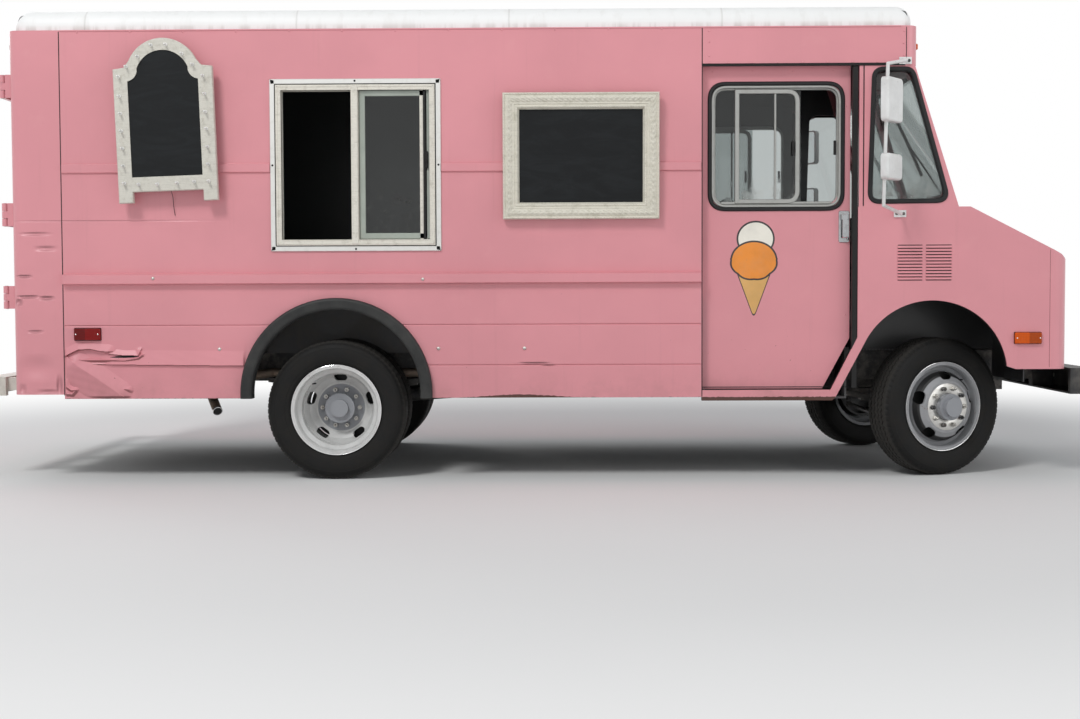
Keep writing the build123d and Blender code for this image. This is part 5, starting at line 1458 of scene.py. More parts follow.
@dataclass(frozen=True)
class WheelFittings:
    """Nuts, hub rings, valve stems and the bright lips of the wheels."""

    stud_circle: float = 0.111
    front_face: float = 0.131
    rear_face: float = 0.141
    lip_face: float = 0.0955
    lip_radius: float = 0.2625
    lip_round: float = 0.0022
    stem: Sequence[Point] = (
        # along the stem, radius
        (0.02, 0.0), (0.02, 0.005), (0.045, 0.0048), (0.062, 0.004), (0.066, 0.004), (0.066, 0.0),
    )
    stem_circle: float = 0.196
    hub_ring: Sequence[Point] = (
        # along the axle, radius
        (0.131, 0.079), (0.1345, 0.079), (0.1355, 0.081),
        (0.1355, 0.134), (0.1335, 0.138), (0.131, 0.138),
    )

    def nuts(self, count: int, start: float, height: float, radius: float, face: float) -> Surface:
        """Nuts about the X axis on the stud circle.

        Args:
            count: number of nuts.
            start: angle of the first, in degrees.
            height: how far each stands out.
            radius: radius of each.
            face: place of their feet along the axle.

        Returns:
            All the nuts in one surface.
        """
        nut = hexagon_nut(radius, height, (1, 0, 0))
        stud = bolt_head(radius * 0.5, height * 0.5, (1, 0, 0), 10).shifted((height, 0, 0))
        angle = np.radians(start) + np.arange(count) * TAU / count
        y, z = self.stud_circle * np.cos(angle), self.stud_circle * np.sin(angle)
        places = np.stack([np.zeros(count), y, z], 1)
        return Surface.joined([nut, stud]).copied(places).shifted((face, 0, 0))

    def lip(self, face: float) -> Surface:
        """Bright round lip of a rim at a place along its axle."""
        section = (circle(self.lip_round, 8) + (face, self.lip_radius))[::-1]
        return lathe(section, 96, closed=True)

    def valve(self) -> Surface:
        """Valve stem that leans out of the rim's bowl."""
        angle = 0.9
        y, z = self.stem_circle * math.cos(angle), self.stem_circle * math.sin(angle)
        return lathe(self.stem, 12).placed(turn_about("Z", 12), (0.03, y, z))

    def build(self) -> None:
        """Fittings of each wheel in its own frame, then put in place."""
        for place in WHEELS:
            seat = Seat(place.body, "rim_white")
            inner_twin = place.track == INNER_TWIN
            if not inner_twin:
                outer_twin = place.outward < 0
                ring = self.lip(-self.lip_face if outer_twin else self.lip_face)
                build(f"{place.name}_rim_lip", place.put(ring), CHROME, seat)
                stem = self.valve()
                if outer_twin:
                    stem = stem.placed(np.diag([-1.0, 1, 1]))
                rubber = Seat(place.body, "rubber")
                build(f"{place.name}_valve_stem", place.put(stem), TRIM_RUBBER, rubber)
            fittings = []
            if place.steered:
                fittings = [
                    ("hub_ring", lathe(self.hub_ring, 72, closed=True), HUB_STEEL),
                    ("nuts", self.nuts(5, 0, 0.028, 0.0145, self.front_face), NUT_STEEL),
                    ("studs", self.nuts(5, 36, 0.027, 0.0142, self.front_face), AXLE_BLACK),
                ]
            elif inner_twin:
                nuts = self.nuts(10, 0, 0.027, 0.0145, self.rear_face)
                fittings = [("nuts", nuts, NUT_STEEL)]
            for kind, surface, finish in fittings:
                build(f"{place.name}_{kind}", place.put(surface), finish, seat)


WALL = 1.15  # the side walls' outer face, from the middle of the truck


@dataclass(frozen=True)
class BodySeams:
    """Rivets, bolts, seams and drip edges of the sheet body."""

    rivet_row: float = 2.395
    header_rivets: Point = (1.025, 1.135, 1.277, 1.419, 1.56, 1.699, 1.841, 1.983)
    eave_row: float = 2.588
    skirt_row: float = 0.766
    skirt_bolts: Point = (-2.27, -1.803, -0.535, -0.038)
    rail_bolts: Sequence[Point] = ((-2.174, -1.1852, 1.176), (-0.62, -1.1852, 1.166))
    drip: float = 2.384
    eave: float = 2.592

    def fasteners(self) -> None:
        """Rivets of the header and the eaves, bolts of the skirt and its rail."""
        rows = [(x, -WALL, self.rivet_row) for x in self.header_rivets]
        rows += [(1.024, -WALL, z) for z in (2.434, 2.513, 2.575)]
        rows += [(2.135, -WALL, z) for z in (2.43, 2.5, 2.57)]
        rows += [(x, -WALL, self.eave_row) for x in np.arange(-2.6, 0.9, 0.305)]
        rivets = bolt_head(0.0065, 0.0035, OUTWARD, 10).copied(rows)
        build("header_rivets", rivets.both_sides(), PINK_PLAIN, PANEL)
        spots = [(x, -WALL - 0.0005, self.skirt_row) for x in self.skirt_bolts]
        bolts = bolt_head(0.011, 0.006, OUTWARD, 12).copied(spots)
        rail = bolt_head(0.01, 0.006, OUTWARD, 12).copied(self.rail_bolts)
        build("skirt_bolts", Surface.joined([bolts, rail]).both_sides(), NUT_STEEL, STEEL)

    def build(self) -> None:
        """Small fittings of both sides, each kind one piece."""
        self.fasteners()
        y, low, high = -WALL, self.drip, self.eave
        drip = bars(
            ((0.986, y - 0.007, low - 0.01), (2.142, y + 0.004, low)),
            ((0.986, y - 0.0035, low), (2.142, y + 0.004, low + 0.006), 0.001),
        )
        eave = bar((-2.7, y - 0.0045, high), (2.12, y + 0.004, high + 0.0085))
        laps = bars(
            ((0.9825, y - 0.0014, 0.484), (0.9875, y + 0.002, high), 0.0006),
            ((-2.7085, y - 0.0016, 0.5), (-2.7035, y + 0.002, high), 0.0006),
            ((2.1465, y - 0.0014, 2.386), (2.1505, y + 0.002, high), 0.0006),
        )
        nose = bar((2.979, y - 0.0008, 0.645), (2.982, y + 0.003, 1.322), 0.0006)
        gap = bar((1.846, y + 0.0005, 0.53), (1.876, y + 0.032, 2.372))
        for name, surface, finish, seat in (
            ("door_drip_edges", drip, SEAM_BLACK, RUBBER),
            ("eave_strips", eave, PINK_PLAIN, PANEL),
            ("panel_seams", laps, SEAM_BLACK, RUBBER),
            ("nose_seams", nose, PINK_SHADE, PANEL),
            ("door_front_seals", gap, SEAM_BLACK, RUBBER),
        ):
            build(name, surface.both_sides(), finish, seat)


@dataclass(frozen=True)
class RearCornerCrumple:
    """Thin sheet over the right wall's lower rear part, crumpled in a scrape.

    The sheet is a grid over the wall. Each fold is a tent along a broken line:
    its height falls in a straight slope to nothing on both sides of the line,
    which gives the flat facets and sharp creases of crushed sheet metal."""

    x0: float = -2.7
    x1: float = -1.654
    z0: float = 0.484
    z1: float = 0.812
    columns: int = 320
    rows: int = 130
    skin: float = 0.0012
    swell: float = 1.25
    ripple: float = 0.00025
    edge: float = 0.012
    folds: Sequence[Any] = (
        # height, reach above the line, reach below it, points of the line
        (0.021, 0.04, 0.005, (
            (-2.697, 0.722), (-2.686, 0.734), (-2.617, 0.767), (-2.55, 0.771),
            (-2.489, 0.758), (-2.442, 0.755),
        )),
        (0.013, 0.03, 0.006, (
            (-2.442, 0.742), (-2.351, 0.732), (-2.272, 0.731), (-2.262, 0.752),
        )),
        (0.015, 0.012, 0.02, (
            (-2.697, 0.716), (-2.596, 0.706), (-2.507, 0.706), (-2.429, 0.705),
            (-2.346, 0.704), (-2.272, 0.716), (-2.25, 0.735),
        )),
        (0.008, 0.022, 0.003, ((-2.697, 0.682), (-2.463, 0.681))),
        (0.012, 0.085, 0.003, ((-2.42, 0.679), (-2.15, 0.676), (-1.66, 0.67))),
        (0.022, 0.075, 0.13, (
            (-2.64, 0.69), (-2.618, 0.671), (-2.503, 0.597), (-2.387, 0.515),
        )),
        (0.014, 0.022, 0.03, ((-2.354, 0.538), (-2.332, 0.536))),
        (0.016, 0.02, 0.014, (
            (-2.697, 0.585), (-2.69, 0.552), (-2.664, 0.533), (-2.64, 0.532),
        )),
        (0.012, 0.014, 0.016, ((-2.697, 0.512), (-2.66, 0.508), (-2.64, 0.53))),
    )
    # outline of a black plate in the torn pocket: painted shadow
    pocket_shadow: Sequence[Point] = (
        # x, lower z, upper z
        (-2.436, 0.721, 0.7225), (-2.4, 0.7185, 0.7275), (-2.351, 0.718, 0.7315),
        (-2.3, 0.72, 0.7315), (-2.268, 0.7265, 0.73),
    )

    def height(self, x: Array, z: Array) -> Array:
        """Height of the sheet above the wall.

        Args:
            x: grid of places along the truck.
            z: grid of heights.

        Returns:
            Grid of heights in metres, never less than the skin.
        """
        point = np.stack([x, z], axis=-1)
        highest = np.zeros_like(x)
        for tall, above, below, line in self.folds:
            ends = np.asarray(line, float)
            nearest = np.full(x.shape, 9.0)
            reach = np.full(x.shape, above)
            for start, end in zip(ends[:-1], ends[1:]):
                along = end - start
                share = np.clip(((point - start) @ along) / (along @ along), 0, 1)
                gap = point - (start + share[..., None] * along)
                away = np.linalg.norm(gap, axis=-1)
                over = along[0] * gap[..., 1] - along[1] * gap[..., 0] >= 0
                closer = away < nearest
                nearest = np.where(closer, away, nearest)
                reach = np.where(closer, np.where(over, above, below), reach)
            tent = self.swell * tall * np.clip(1 - nearest / reach, 0, 1)
            highest = np.maximum(highest, tent)
        edge = self.edge
        border = 1 - smooth_step(x, self.x1 - edge, self.x1)
        border = border * smooth_step(z, self.z0, self.z0 + edge)
        border = border * (1 - smooth_step(z, self.z1 - edge, self.z1))
        border = border * smooth_step(x, self.x0 - edge / 3, self.x0 + edge)
        ripple = self.ripple * np.sin(x * 61 + z * 47) * np.sin(z * 90 - x * 23)
        return self.skin + np.maximum(highest + ripple * (highest > 0.001), 0) * border

    def build(self) -> None:
        """One closed sheet that follows the folds, and a black plate as painted shadow in the
        pocket torn in it.
        """
        along = np.linspace(self.x0, self.x1, self.columns)
        up = np.linspace(self.z0, self.z1, self.rows)
        x, z = np.meshgrid(along, up, indexing="ij")
        front = np.stack([x, -WALL - self.height(x, z), z], axis=-1)
        back = np.stack([x, np.full_like(x, 0.0005 - WALL), z], axis=-1)
        rim = [
            np.concatenate([sheet[:, 0], sheet[-1, 1:], sheet[-2::-1, -1], sheet[0, -2:0:-1]])
            for sheet in (front, back)
        ]
        closing = Surface.grid(np.stack(rim), wrap_columns=True)
        surface = Surface.joined([Surface.grid(front), Surface.grid(back), closing])
        build("rear_corner_crumple", surface, PINK_DULL, PANEL, sharp=24)
        lower = [(x, low) for x, low, high in self.pocket_shadow]
        upper = [(x, high) for x, low, high in self.pocket_shadow]
        shadow_plate = plate(np.array(lower + upper[::-1]), WALL, WALL + 0.001)
        rise = self.height(shadow_plate.points[:, 0], shadow_plate.points[:, 2])
        lifted = shadow_plate.points - np.stack([0 * rise, rise, 0 * rise], axis=1)
        shadow_plate = Surface(lifted, shadow_plate.quads, shadow_plate.triangles)
        build("crumple_shadow_plate", shadow_plate, SEAM_BLACK, RUBBER)


def on_doors(name: str, surface: Surface, finish: Finish, slot: str) -> None:
    """A piece of the right sliding door and its mirror image on the left one."""
    build_pair(name, surface, finish, SLIDING_DOORS, slot)


@dataclass(frozen=True)
class DoorWindows:
    """Rubber, aluminium frames and sliding sashes of both cab doors."""

    face: float = 1.092
    opening: Point = (1.022, 1.811, 1.551, 2.294)
    frame: Point = (1.044, 1.789, 1.573, 2.271)
    rubber_corner: float = 0.105
    frame_corner: float = 0.09
    sash: Point = (1.179, 1.553, 1.594, 2.251)
    sash_corner: float = 0.075
    sash_face: float = 1.08

    def build(self) -> None:
        """The right door's window and its mirror image."""
        outer = rounded_outline(box_corners(*self.opening), self.rubber_corner)
        rubber = wall_ring(outer, self.face, 0.0, 0.023, -0.03, 0.01, 0.006)
        on_doors("door_window_rubber", rubber, TRIM_RUBBER, "rubber")
        rail = rounded_outline(box_corners(*self.frame), self.frame_corner)
        ring = wall_ring(rail, self.face, 0.0, 0.015, -0.028, 0.0075, 0.003)
        lip = wall_ring(rail, self.face, 0.009, 0.015, -0.03, -0.012, 0.002)
        sill = bar((1.1, -1.0885, 1.592), (1.735, -1.062, 1.606))
        frame_piece = Surface.joined([ring, lip, sill])
        on_doors("door_window_frame", frame_piece, SASH_GREY, "window_aluminium")
        x0, x1, z0, z1 = self.sash
        bends = rounded_outline([(x1, z0), (x1, z1), (x0, z1), (x0, z0)], self.sash_corner)
        outline = np.array([(x0, z0), (x1 - 0.081, z0), *bends[:20], (x0, z1)])
        sash_ring = wall_ring(outline, self.sash_face, 0.0, 0.026, -0.01, 0.012, 0.003)
        stile = bar((1.406, -1.088, 1.6), (1.418, -1.072, 2.246))
        sash = Surface.joined([sash_ring, stile])
        on_doors("door_window_sash", sash, SASH_GREY, "window_aluminium")
        latches = bars(
            ((1.506, -1.097, 1.872), (1.522, -1.09, 1.955)),
            ((1.746, -1.097, 1.872), (1.762, -1.09, 1.955)),
            ((1.509, -1.103, 1.9), (1.519, -1.094, 1.925)),
        )
        on_doors("door_window_latches", latches, SEAM_BLACK, "rubber")


@dataclass(frozen=True)
class DoorFittings:
    """Handles, edge seams, screws and cone decals of both cab doors."""

    face: float = 1.092
    plates: Sequence[Any] = (
        # x0, x1, z0, z1, corner, back, front, bevel: escutcheon, foot, grip
        ((1.777, 1.839, 1.369, 1.551), 0.012, 1.091, 1.0985, 0.002),
        ((1.7885, 1.8275, 1.4985, 1.5315), 0.006, 1.097, 1.129, 0.002),
        ((1.7945, 1.8215, 1.3935, 1.5315), 0.012, 1.1125, 1.1295, 0.004),
    )
    top_scoop: Point = (1.3, 1.392, 0.1, 0.094)
    low_scoop: Point = (1.29, 1.268, 0.126, 0.104)
    cone: Sequence[Point] = ((1.29, 0.94), (1.4, 1.24), (1.18, 1.24))
    border: float = 0.01

    def build(self) -> None:
        """Chrome pull with its escutcheon and lock, seams, screws, then the decal."""
        pull = [
            plate(rounded_outline(box_corners(*box), corner), back, front, bevel)
            for box, corner, back, front, bevel in self.plates
        ]
        pull.append(bolt_head(0.009, 0.005, OUTWARD, 16).shifted((1.829, -1.0985, 1.39)))
        on_doors("door_pull", Surface.joined(pull), DARK_CHROME, "window_aluminium")
        creases = bars(*(
            ((0.99, -1.0945, z), (1.835, -1.0915, z + 0.004), 0.001) for z in (0.532, 2.386)
        ))
        on_doors("door_seams", creases, SEAM_BLACK, "rubber")
        spots = [(x, -self.face, 2.352) for x in (1.05, 1.28, 1.51, 1.74)]
        spots += [(1.818, -self.face, z) for z in (0.62, 0.95, 1.72, 2.15)]
        screws = bolt_head(0.005, 0.003, OUTWARD, 8).copied(spots)
        on_doors("door_screws", screws, PINK_PLAIN, "pink_paint")
        self.decal()

    def decal(self) -> None:
        """A plain cone with two scoops, in thin layers of cut vinyl.

        A scoop is an oval (x + a cos t, z + b sin t). The lower one's radii
        grow by |sin 4t| along its lower half, which gives its drips."""
        turn = np.linspace(0, TAU, 144, endpoint=False)
        drips = 1 + 0.045 * np.abs(np.sin(4 * turn)) * (np.sin(turn) < 0.1)
        top, scoop = (
            np.stack([x + a * swell * np.cos(turn), z + b * swell * np.sin(turn)], 1)
            for (x, z, a, b), swell in ((self.top_scoop, 1.0), (self.low_scoop, drips))
        )
        cone = rounded_outline(self.cone, 0.014, 12)
        for name, outline, depth, finish in (
            ("cone", cone, 0.0006, DECAL_CONE),
            ("top_scoop", top, 0.0008, DECAL_CREAM),
            ("low_scoop", scoop, 0.0013, DECAL_ORANGE),
        ):
            for part, by, rise, colour in (
                ("_edge", self.border, 0.0, DECAL_DARK), ("", 0.0, 0.0003, finish),
            ):
                layer = plate(grown(outline, by), self.face - 0.001, self.face + depth + rise)
                on_doors(f"decal_{name}{part}", layer, colour, "ivory_moulding")


def smooth_path(points: Sequence[Any], count: int) -> Array:
    """Smooth path through points, as a Catmull-Rom spline.

    Between P1 and P2 a point is half of
    2 P1 + (P2-P0) t + (2P0-5P1+4P2-P3) t^2 + (3P1-P0-3P2+P3) t^3.

    Args:
        points: points of the path.
        count: steps in all.

    Returns:
        Array of shape (count, 3).
    """
    p = np.asarray(points, float)
    p = np.concatenate([2 * p[:1] - p[1:2], p, 2 * p[-1:] - p[-2:-1]])
    place = np.linspace(0, len(p) - 3 - 1e-6, count)
    k = place.astype(int)
    t = (place - k)[:, None]
    a, b, c, d = p[k], p[k + 1], p[k + 2], p[k + 3]
    square, cube = 2 * a - 5 * b + 4 * c - d, 3 * b - a - 3 * c + d
    return 0.5 * (2 * b + (c - a) * t + square * t**2 + cube * t**3)


@dataclass(frozen=True)
class CabGlazing:
    """Rubber round the quarter windows and the windshield, with wipers."""

    foot: Point = (2.455, 1.57)
    top: Point = (2.197, 2.38)
    quarter: Sequence[Point] = ((1.935, 1.59), (2.407, 1.594), (2.19, 2.364), (1.958, 2.364))
    quarter_corner: float = 0.066
    pane: Point = (0.028, 1.068, 1.642, 2.332)
    pane_corner: float = 0.07
    wipers: Sequence[Point] = ((-0.78, -0.42), (0.2, 0.56))
    spindle_z: float = 1.605

    @property
    def outward(self) -> Array:
        """Direction that the raked windshield faces."""
        rake = math.atan2(self.foot[0] - self.top[0], self.top[1] - self.foot[1])
        return np.array([math.cos(rake), 0, math.sin(rake)])

    def on_screen(self, y: float, z: float, out: float) -> Array:
        """Point of the raked windshield at width y, height z, out metres in front."""
        (x0, z0), (x1, z1) = self.foot, self.top
        share = (z - z0) / (z1 - z0)
        return np.array([x0 + (x1 - x0) * share, y, z]) + out * self.outward

    def wiper(self, pivot: float, tip: float) -> list:
        """Arm, blade and spindle of a wiper.

        Args:
            pivot: y of its spindle.
            tip: y of the middle of its blade.

        Returns:
            The three surfaces.
        """
        foot, z = self.on_screen(pivot, self.spindle_z, 0.0), self.spindle_z
        raised = self.on_screen(pivot, z, 0.035)
        halfway = self.on_screen((pivot + tip) / 2, 1.8, 0.03)
        end = self.on_screen(tip, 1.98, 0.018)
        path = smooth_path([foot, raised, halfway, end], 24)
        arm = sweep(circle(0.006, 8), path, False, (1, 0, 0.2))
        low, high = self.on_screen(tip - 0.1, 1.79, 0.012), self.on_screen(tip + 0.1, 2.17, 0.012)
        path = smooth_path([low, (low + high) / 2 + (0.004, 0, 0), high], 12)
        section = np.array([(-0.004, -0.009), (-0.004, 0.009), (0.004, 0.009), (0.004, -0.009)])
        blade = sweep(section, path, False, self.outward)
        return [arm, blade, bolt_head(0.016, 0.012, self.outward, 14).shifted(foot)]

    def build(self) -> None:
        """Gaskets, wipers and the edges of the door posts."""
        quarter = rounded_outline(self.quarter, self.quarter_corner)
        gasket = wall_ring(quarter, WALL, -0.004, 0.027, -0.012, 0.01, 0.006)
        build("quarter_window_rubber", gasket.both_sides(), TRIM_RUBBER, RUBBER)
        pane = rounded_outline(box_corners(*self.pane), self.pane_corner)
        path = np.array([self.on_screen(-y, z, 0.0) for y, z in pane])
        section = strip_section(-0.016, 0.026, -0.01, 0.009, 0.005)
        ring = sweep(section, path, True, self.outward)
        build("windshield_rubber", ring.both_sides(), TRIM_RUBBER, RUBBER)
        wipers = [part for pivot, tip in self.wipers for part in self.wiper(pivot, tip)]
        build("wipers", Surface.joined(wipers), TRIM_RUBBER, RUBBER)
        edge = bar((1.905, -1.1525, 1.575), (1.911, -1.148, 2.378), 0.001)
        build("door_post_edges", edge.both_sides(), SEAM_BLACK, RUBBER)


@dataclass(frozen=True)
class ServingHatch:
    """Aluminium flange, dark gap, screws, bead and latch of the serving window."""

    corner: float = 0.004
    rings: Sequence[Any] = (
        # x0, x1, z0, z1, then wall_ring's plane, inside, width, low, high, edge
        ((-1.4955, -0.5135, 1.3285, 2.3145), (WALL, 0.0, 0.0285, 0.002, 0.0106, 0.002)),
        ((-1.468, -0.541, 1.357, 2.287), (WALL, 0.0, 0.006, 0.002, 0.01, 0.001)),
        ((-1.458, -0.551, 1.367, 2.277), (1.164, 0.0, 0.01, -0.003, 0.003, 0.002)),
        ((-1.436, -0.573, 1.389, 2.255), (1.164, 0.0, 0.006, -0.02, 0.002, 0.002)),
    )
    sash: Point = (-0.983, -0.578, 1.398, 2.25)
    screw_face: float = -1.1602

    def build(self) -> None:
        """Rings over the window's frame, then its small parts."""
        flange, gap, bead, lip = (
            wall_ring(rounded_outline(box_corners(*box), self.corner, 3), *section)
            for box, section in self.rings
        )
        build("serving_flange", flange, ALUMINIUM, ALLOY)
        build("serving_gap", gap, SEAM_BLACK, RUBBER)
        post = bar((-1.028, -1.17, 1.368), (-0.988, -1.16, 2.276), 0.008)
        build("serving_bead", Surface.joined([bead, lip, post]), CREAM_SLIDER, ALLOY)
        sash = np.array(box_corners(*self.sash))
        sash_ring = wall_ring(sash, 1.14, 0.0, 0.034, -0.004, 0.006, 0.003)
        build("serving_sash", sash_ring, SASH_GREEN, ALLOY)
        spots = [(x, self.screw_face, z) for x in (-1.484, -1.005, -0.525) for z in (1.341, 2.302)]
        spots += [(x, self.screw_face, 1.822) for x in (-1.482, -0.527)]
        screws = bolt_head(0.0065, 0.004, OUTWARD, 10).copied(spots)
        build("serving_screws", screws, SEAM_BLACK, RUBBER)
        latch = bars(
            ((-0.602, -1.16, 1.8), (-0.588, -1.148, 1.9), 0.003),
            ((-0.606, -1.168, 1.835), (-0.592, -1.158, 1.862), 0.003),
            ((-0.615, -1.152, 1.38), (-0.6, -1.146, 2.262), 0.001),
        )
        build("serving_latch", latch, SEAM_BLACK, RUBBER)


@dataclass(frozen=True)
class MenuFrame:
    """Moulded ivory picture frame round a blank black board.

    The frame is a grid: a goes inward from its outer edge and s runs round it.
    Beads along the outer edge are |sin(pi s / pitch)|, leaves in the cove are
    crossed waves that fade at the cove's edges, and the rope at the inner edge
    is |sin(pi (s + a) / pitch)|."""

    x0: float = -0.158
    x1: float = 0.739
    z0: float = 1.506
    z1: float = 2.226
    back: float = 1.163
    border: float = 0.096
    lean: float = 1.6
    column: float = 0.0034
    bead: Point = (0.008, 0.005, 0.0028, 0.017)  # middle, half width, height, pitch
    rope: Point = (0.084, 0.0055, 0.0045, 0.019)
    cove: Point = (0.018, 0.026, 0.05, 0.058)  # from none to full, and back to none
    cove_middle: float = 0.037
    profile: Sequence[Point] = (
        # distance inward in mm, height in mm
        (0, 0), (0.5, 34), (6, 42), (12, 41), (16, 36), (20, 38), (34, 46), (50, 40), (58, 34),
        (61, 36), (66, 36), (69, 31), (74, 31), (77, 35), (86, 30), (95.5, 14), (96, 12),
    )

    @staticmethod
    def row(shape: Point, a: Array, s: Array) -> Array:
        """Row of round beads, each fading by e^-((a - middle) / half width)^2."""
        middle, half, height, pitch = shape
        return height * np.exp(-(((a - middle) / half) ** 2)) * np.abs(np.sin(math.pi * s / pitch))

    def relief(self, a: Array, s: Array) -> Array:
        """Height of the moulding above its back.

        Args:
            a: distance inward from the outer edge.
            s: distance round the frame.

        Returns:
            Height in metres.
        """
        rise = np.interp(a, *(np.array(self.profile).T / 1000))
        cove = smooth_step(a, *self.cove[:2]) * (1 - smooth_step(a, *self.cove[2:]))
        off = a - self.cove_middle
        leaf = np.sin(TAU * (s + 0.6 * np.abs(off)) / 0.034) * np.cos(TAU * off / 0.03)
        fine = np.sin(TAU * (s * 0.9 + a) / 0.011) * np.sin(TAU * (a - 0.4 * s) / 0.013)
        leaves = cove * (0.0026 * leaf + 0.0012 * fine)
        return rise + self.row(self.bead, a, s) + leaves + self.row(self.rope, a, s + a)

    def leaned(self, surface: Surface) -> Surface:
        """Tip the flat board out at its top and hang it on the wall."""
        return surface.placed(turn_about("X", self.lean), (0, -self.back, self.z0))

    def build(self) -> None:
        """Frame grid, black board and hanging hooks."""
        tall = self.z1 - self.z0
        corners = np.array(box_corners(self.x0, self.x1, 0.0, tall))
        inward = np.array([(1, 1), (-1, 1), (-1, -1), (1, -1)])
        across = np.concatenate([np.linspace(0, self.border, 60), [self.border]])
        columns, distance, start = [], [], 0.0
        for k in range(4):
            after = (k + 1) % 4
            length = np.linalg.norm(corners[after] - corners[k])
            share = np.linspace(0, 1, int(length / self.column))[:-1, None, None]
            low = corners[k] + across[None, :, None] * inward[k]
            high = corners[after] + across[None, :, None] * inward[after]
            columns.append(low + (high - low) * share)
            distance.append(start + share[:, :, 0] * length)
            start += length
        flat, s = np.concatenate(columns), np.concatenate(distance)
        height = self.relief(*(np.broadcast_to(part, flat.shape[:2]) for part in (across, s)))
        height[:, -1] = 0.0
        front = np.stack([flat[..., 0], -height, flat[..., 1]], axis=-1)
        moulding = Surface.grid(front, wrap_rows=True)
        closing = Surface.grid(np.stack([front[:, -1], front[:, 0]]), wrap_columns=True)
        piece = self.leaned(Surface.joined([moulding, closing]))
        hooks = bars(*(((x, -1.175, 2.155), (x + 0.04, -WALL, 2.185)) for x in (-0.05, 0.6)))
        seat = Seat(slot="ivory_moulding", replaces=("menu_board",))
        build("menu_frame", Surface.joined([piece, hooks]), MENU_IVORY, seat, sharp=50)
        inset = self.border - 0.004
        panel = np.array(box_corners(self.x0 + inset, self.x1 - inset, inset, tall - inset))
        build("menu_panel", self.leaned(plate(panel, 0.002, 0.012)), BOARD_BLACK, IVORY)


@dataclass(frozen=True)
class SignFittings:
    """Arched sign with its blank black panel, small white pegs and hanging wire.

    The solid hangs 1.8 degrees askew one way, the photo's sign 2 degrees the
    other way, so the frame's mesh is turned by both about the sign's foot."""

    foot: Point = (-2.062, 1.612)
    turn: float = 2.0
    solid_turn: float = -1.8
    face: float = 1.243
    arch: Point = (0.1455, 0.107, 0.752)
    arch_start: float = 8.0
    shoulder: Sequence[Point] = (
        (0.2015, 0.1455), (0.2015, 0.6895), (0.1745, 0.7025), (0.156, 0.724), (0.146, 0.744),
    )
    pegs: Sequence[Point] = (
        (-0.203, 0.772), (-0.135, 0.826), (-0.056, 0.888), (0.028, 0.888), (0.117, 0.833),
        (0.175, 0.77), (0.23, 0.704), (-0.25, 0.717), (-0.25, 0.607), (-0.249, 0.509),
        (-0.249, 0.41), (-0.247, 0.311), (-0.247, 0.212), (-0.246, 0.114), (0.236, 0.602),
        (0.236, 0.5), (0.237, 0.405), (0.238, 0.302), (0.238, 0.204), (0.236, 0.109),
        (-0.164, 0.104), (-0.057, 0.102), (0.055, 0.104), (0.154, 0.108),
    )
    peg: Sequence[Point] = (
        # along the peg, radius
        (0.0, 0.0), (0.0, 0.01), (0.004, 0.01), (0.007, 0.0062), (0.03, 0.0066),
        (0.038, 0.005), (0.042, 0.0),
    )
    wire: Sequence[Point] = (
        (0.006, -1.2, 0.07), (0.008, -1.17, 0.03), (0.007, -1.16, -0.02),
        (0.012, -1.156, -0.075),
    )

    def hung(self, surface: Surface) -> Surface:
        """Turn the flat sign as it hangs and put it on the wall."""
        return surface.placed(turn_about("Y", -self.turn), (self.foot[0], 0, self.foot[1]))

    def frame(self) -> Surface:
        """The solid's own mesh, turned to the way the sign hangs."""
        solid = Surface.of_node("sign_board").shifted((-self.foot[0], 0, -self.foot[1]))
        flat = solid.placed(turn_about("Y", self.solid_turn))
        return self.hung(flat)

    def build(self) -> None:
        """Frame, panel, pegs and wire.

        The panel's arch is the oval (a cos t, z + b sin t) from arch start up,
        widened so that it meets its shoulders."""
        seat = Seat(slot="ivory_moulding", replaces=("sign_board",))
        build("sign_frame", self.frame(), SIGN_CREAM, seat)
        a, b, z = self.arch
        angle = np.radians(np.linspace(self.arch_start, 180 - self.arch_start, 30))
        wide = a / math.cos(math.radians(self.arch_start))
        top = np.stack([wide * np.cos(angle), z + b * np.sin(angle)], 1)
        right = np.array(self.shoulder)
        outline = np.concatenate([right, top, right[::-1] * (-1, 1)])
        panel = plate(outline, self.face - 0.007, self.face - 0.0045)
        build("sign_panel", self.hung(panel), BOARD_BLACK, IVORY)
        peg = lathe(self.peg, 12).placed(turn_about("Z", -90))
        pegs = peg.copied([(x, -self.face, z) for x, z in self.pegs])
        build("sign_pegs", self.hung(pegs), PEG_WHITE, IVORY)
        strand = sweep(circle(0.0016, 6), smooth_path(self.wire, 24), False, (1, 0, 0))
        build("sign_wire", self.hung(strand), TRIM_RUBBER, RUBBER)


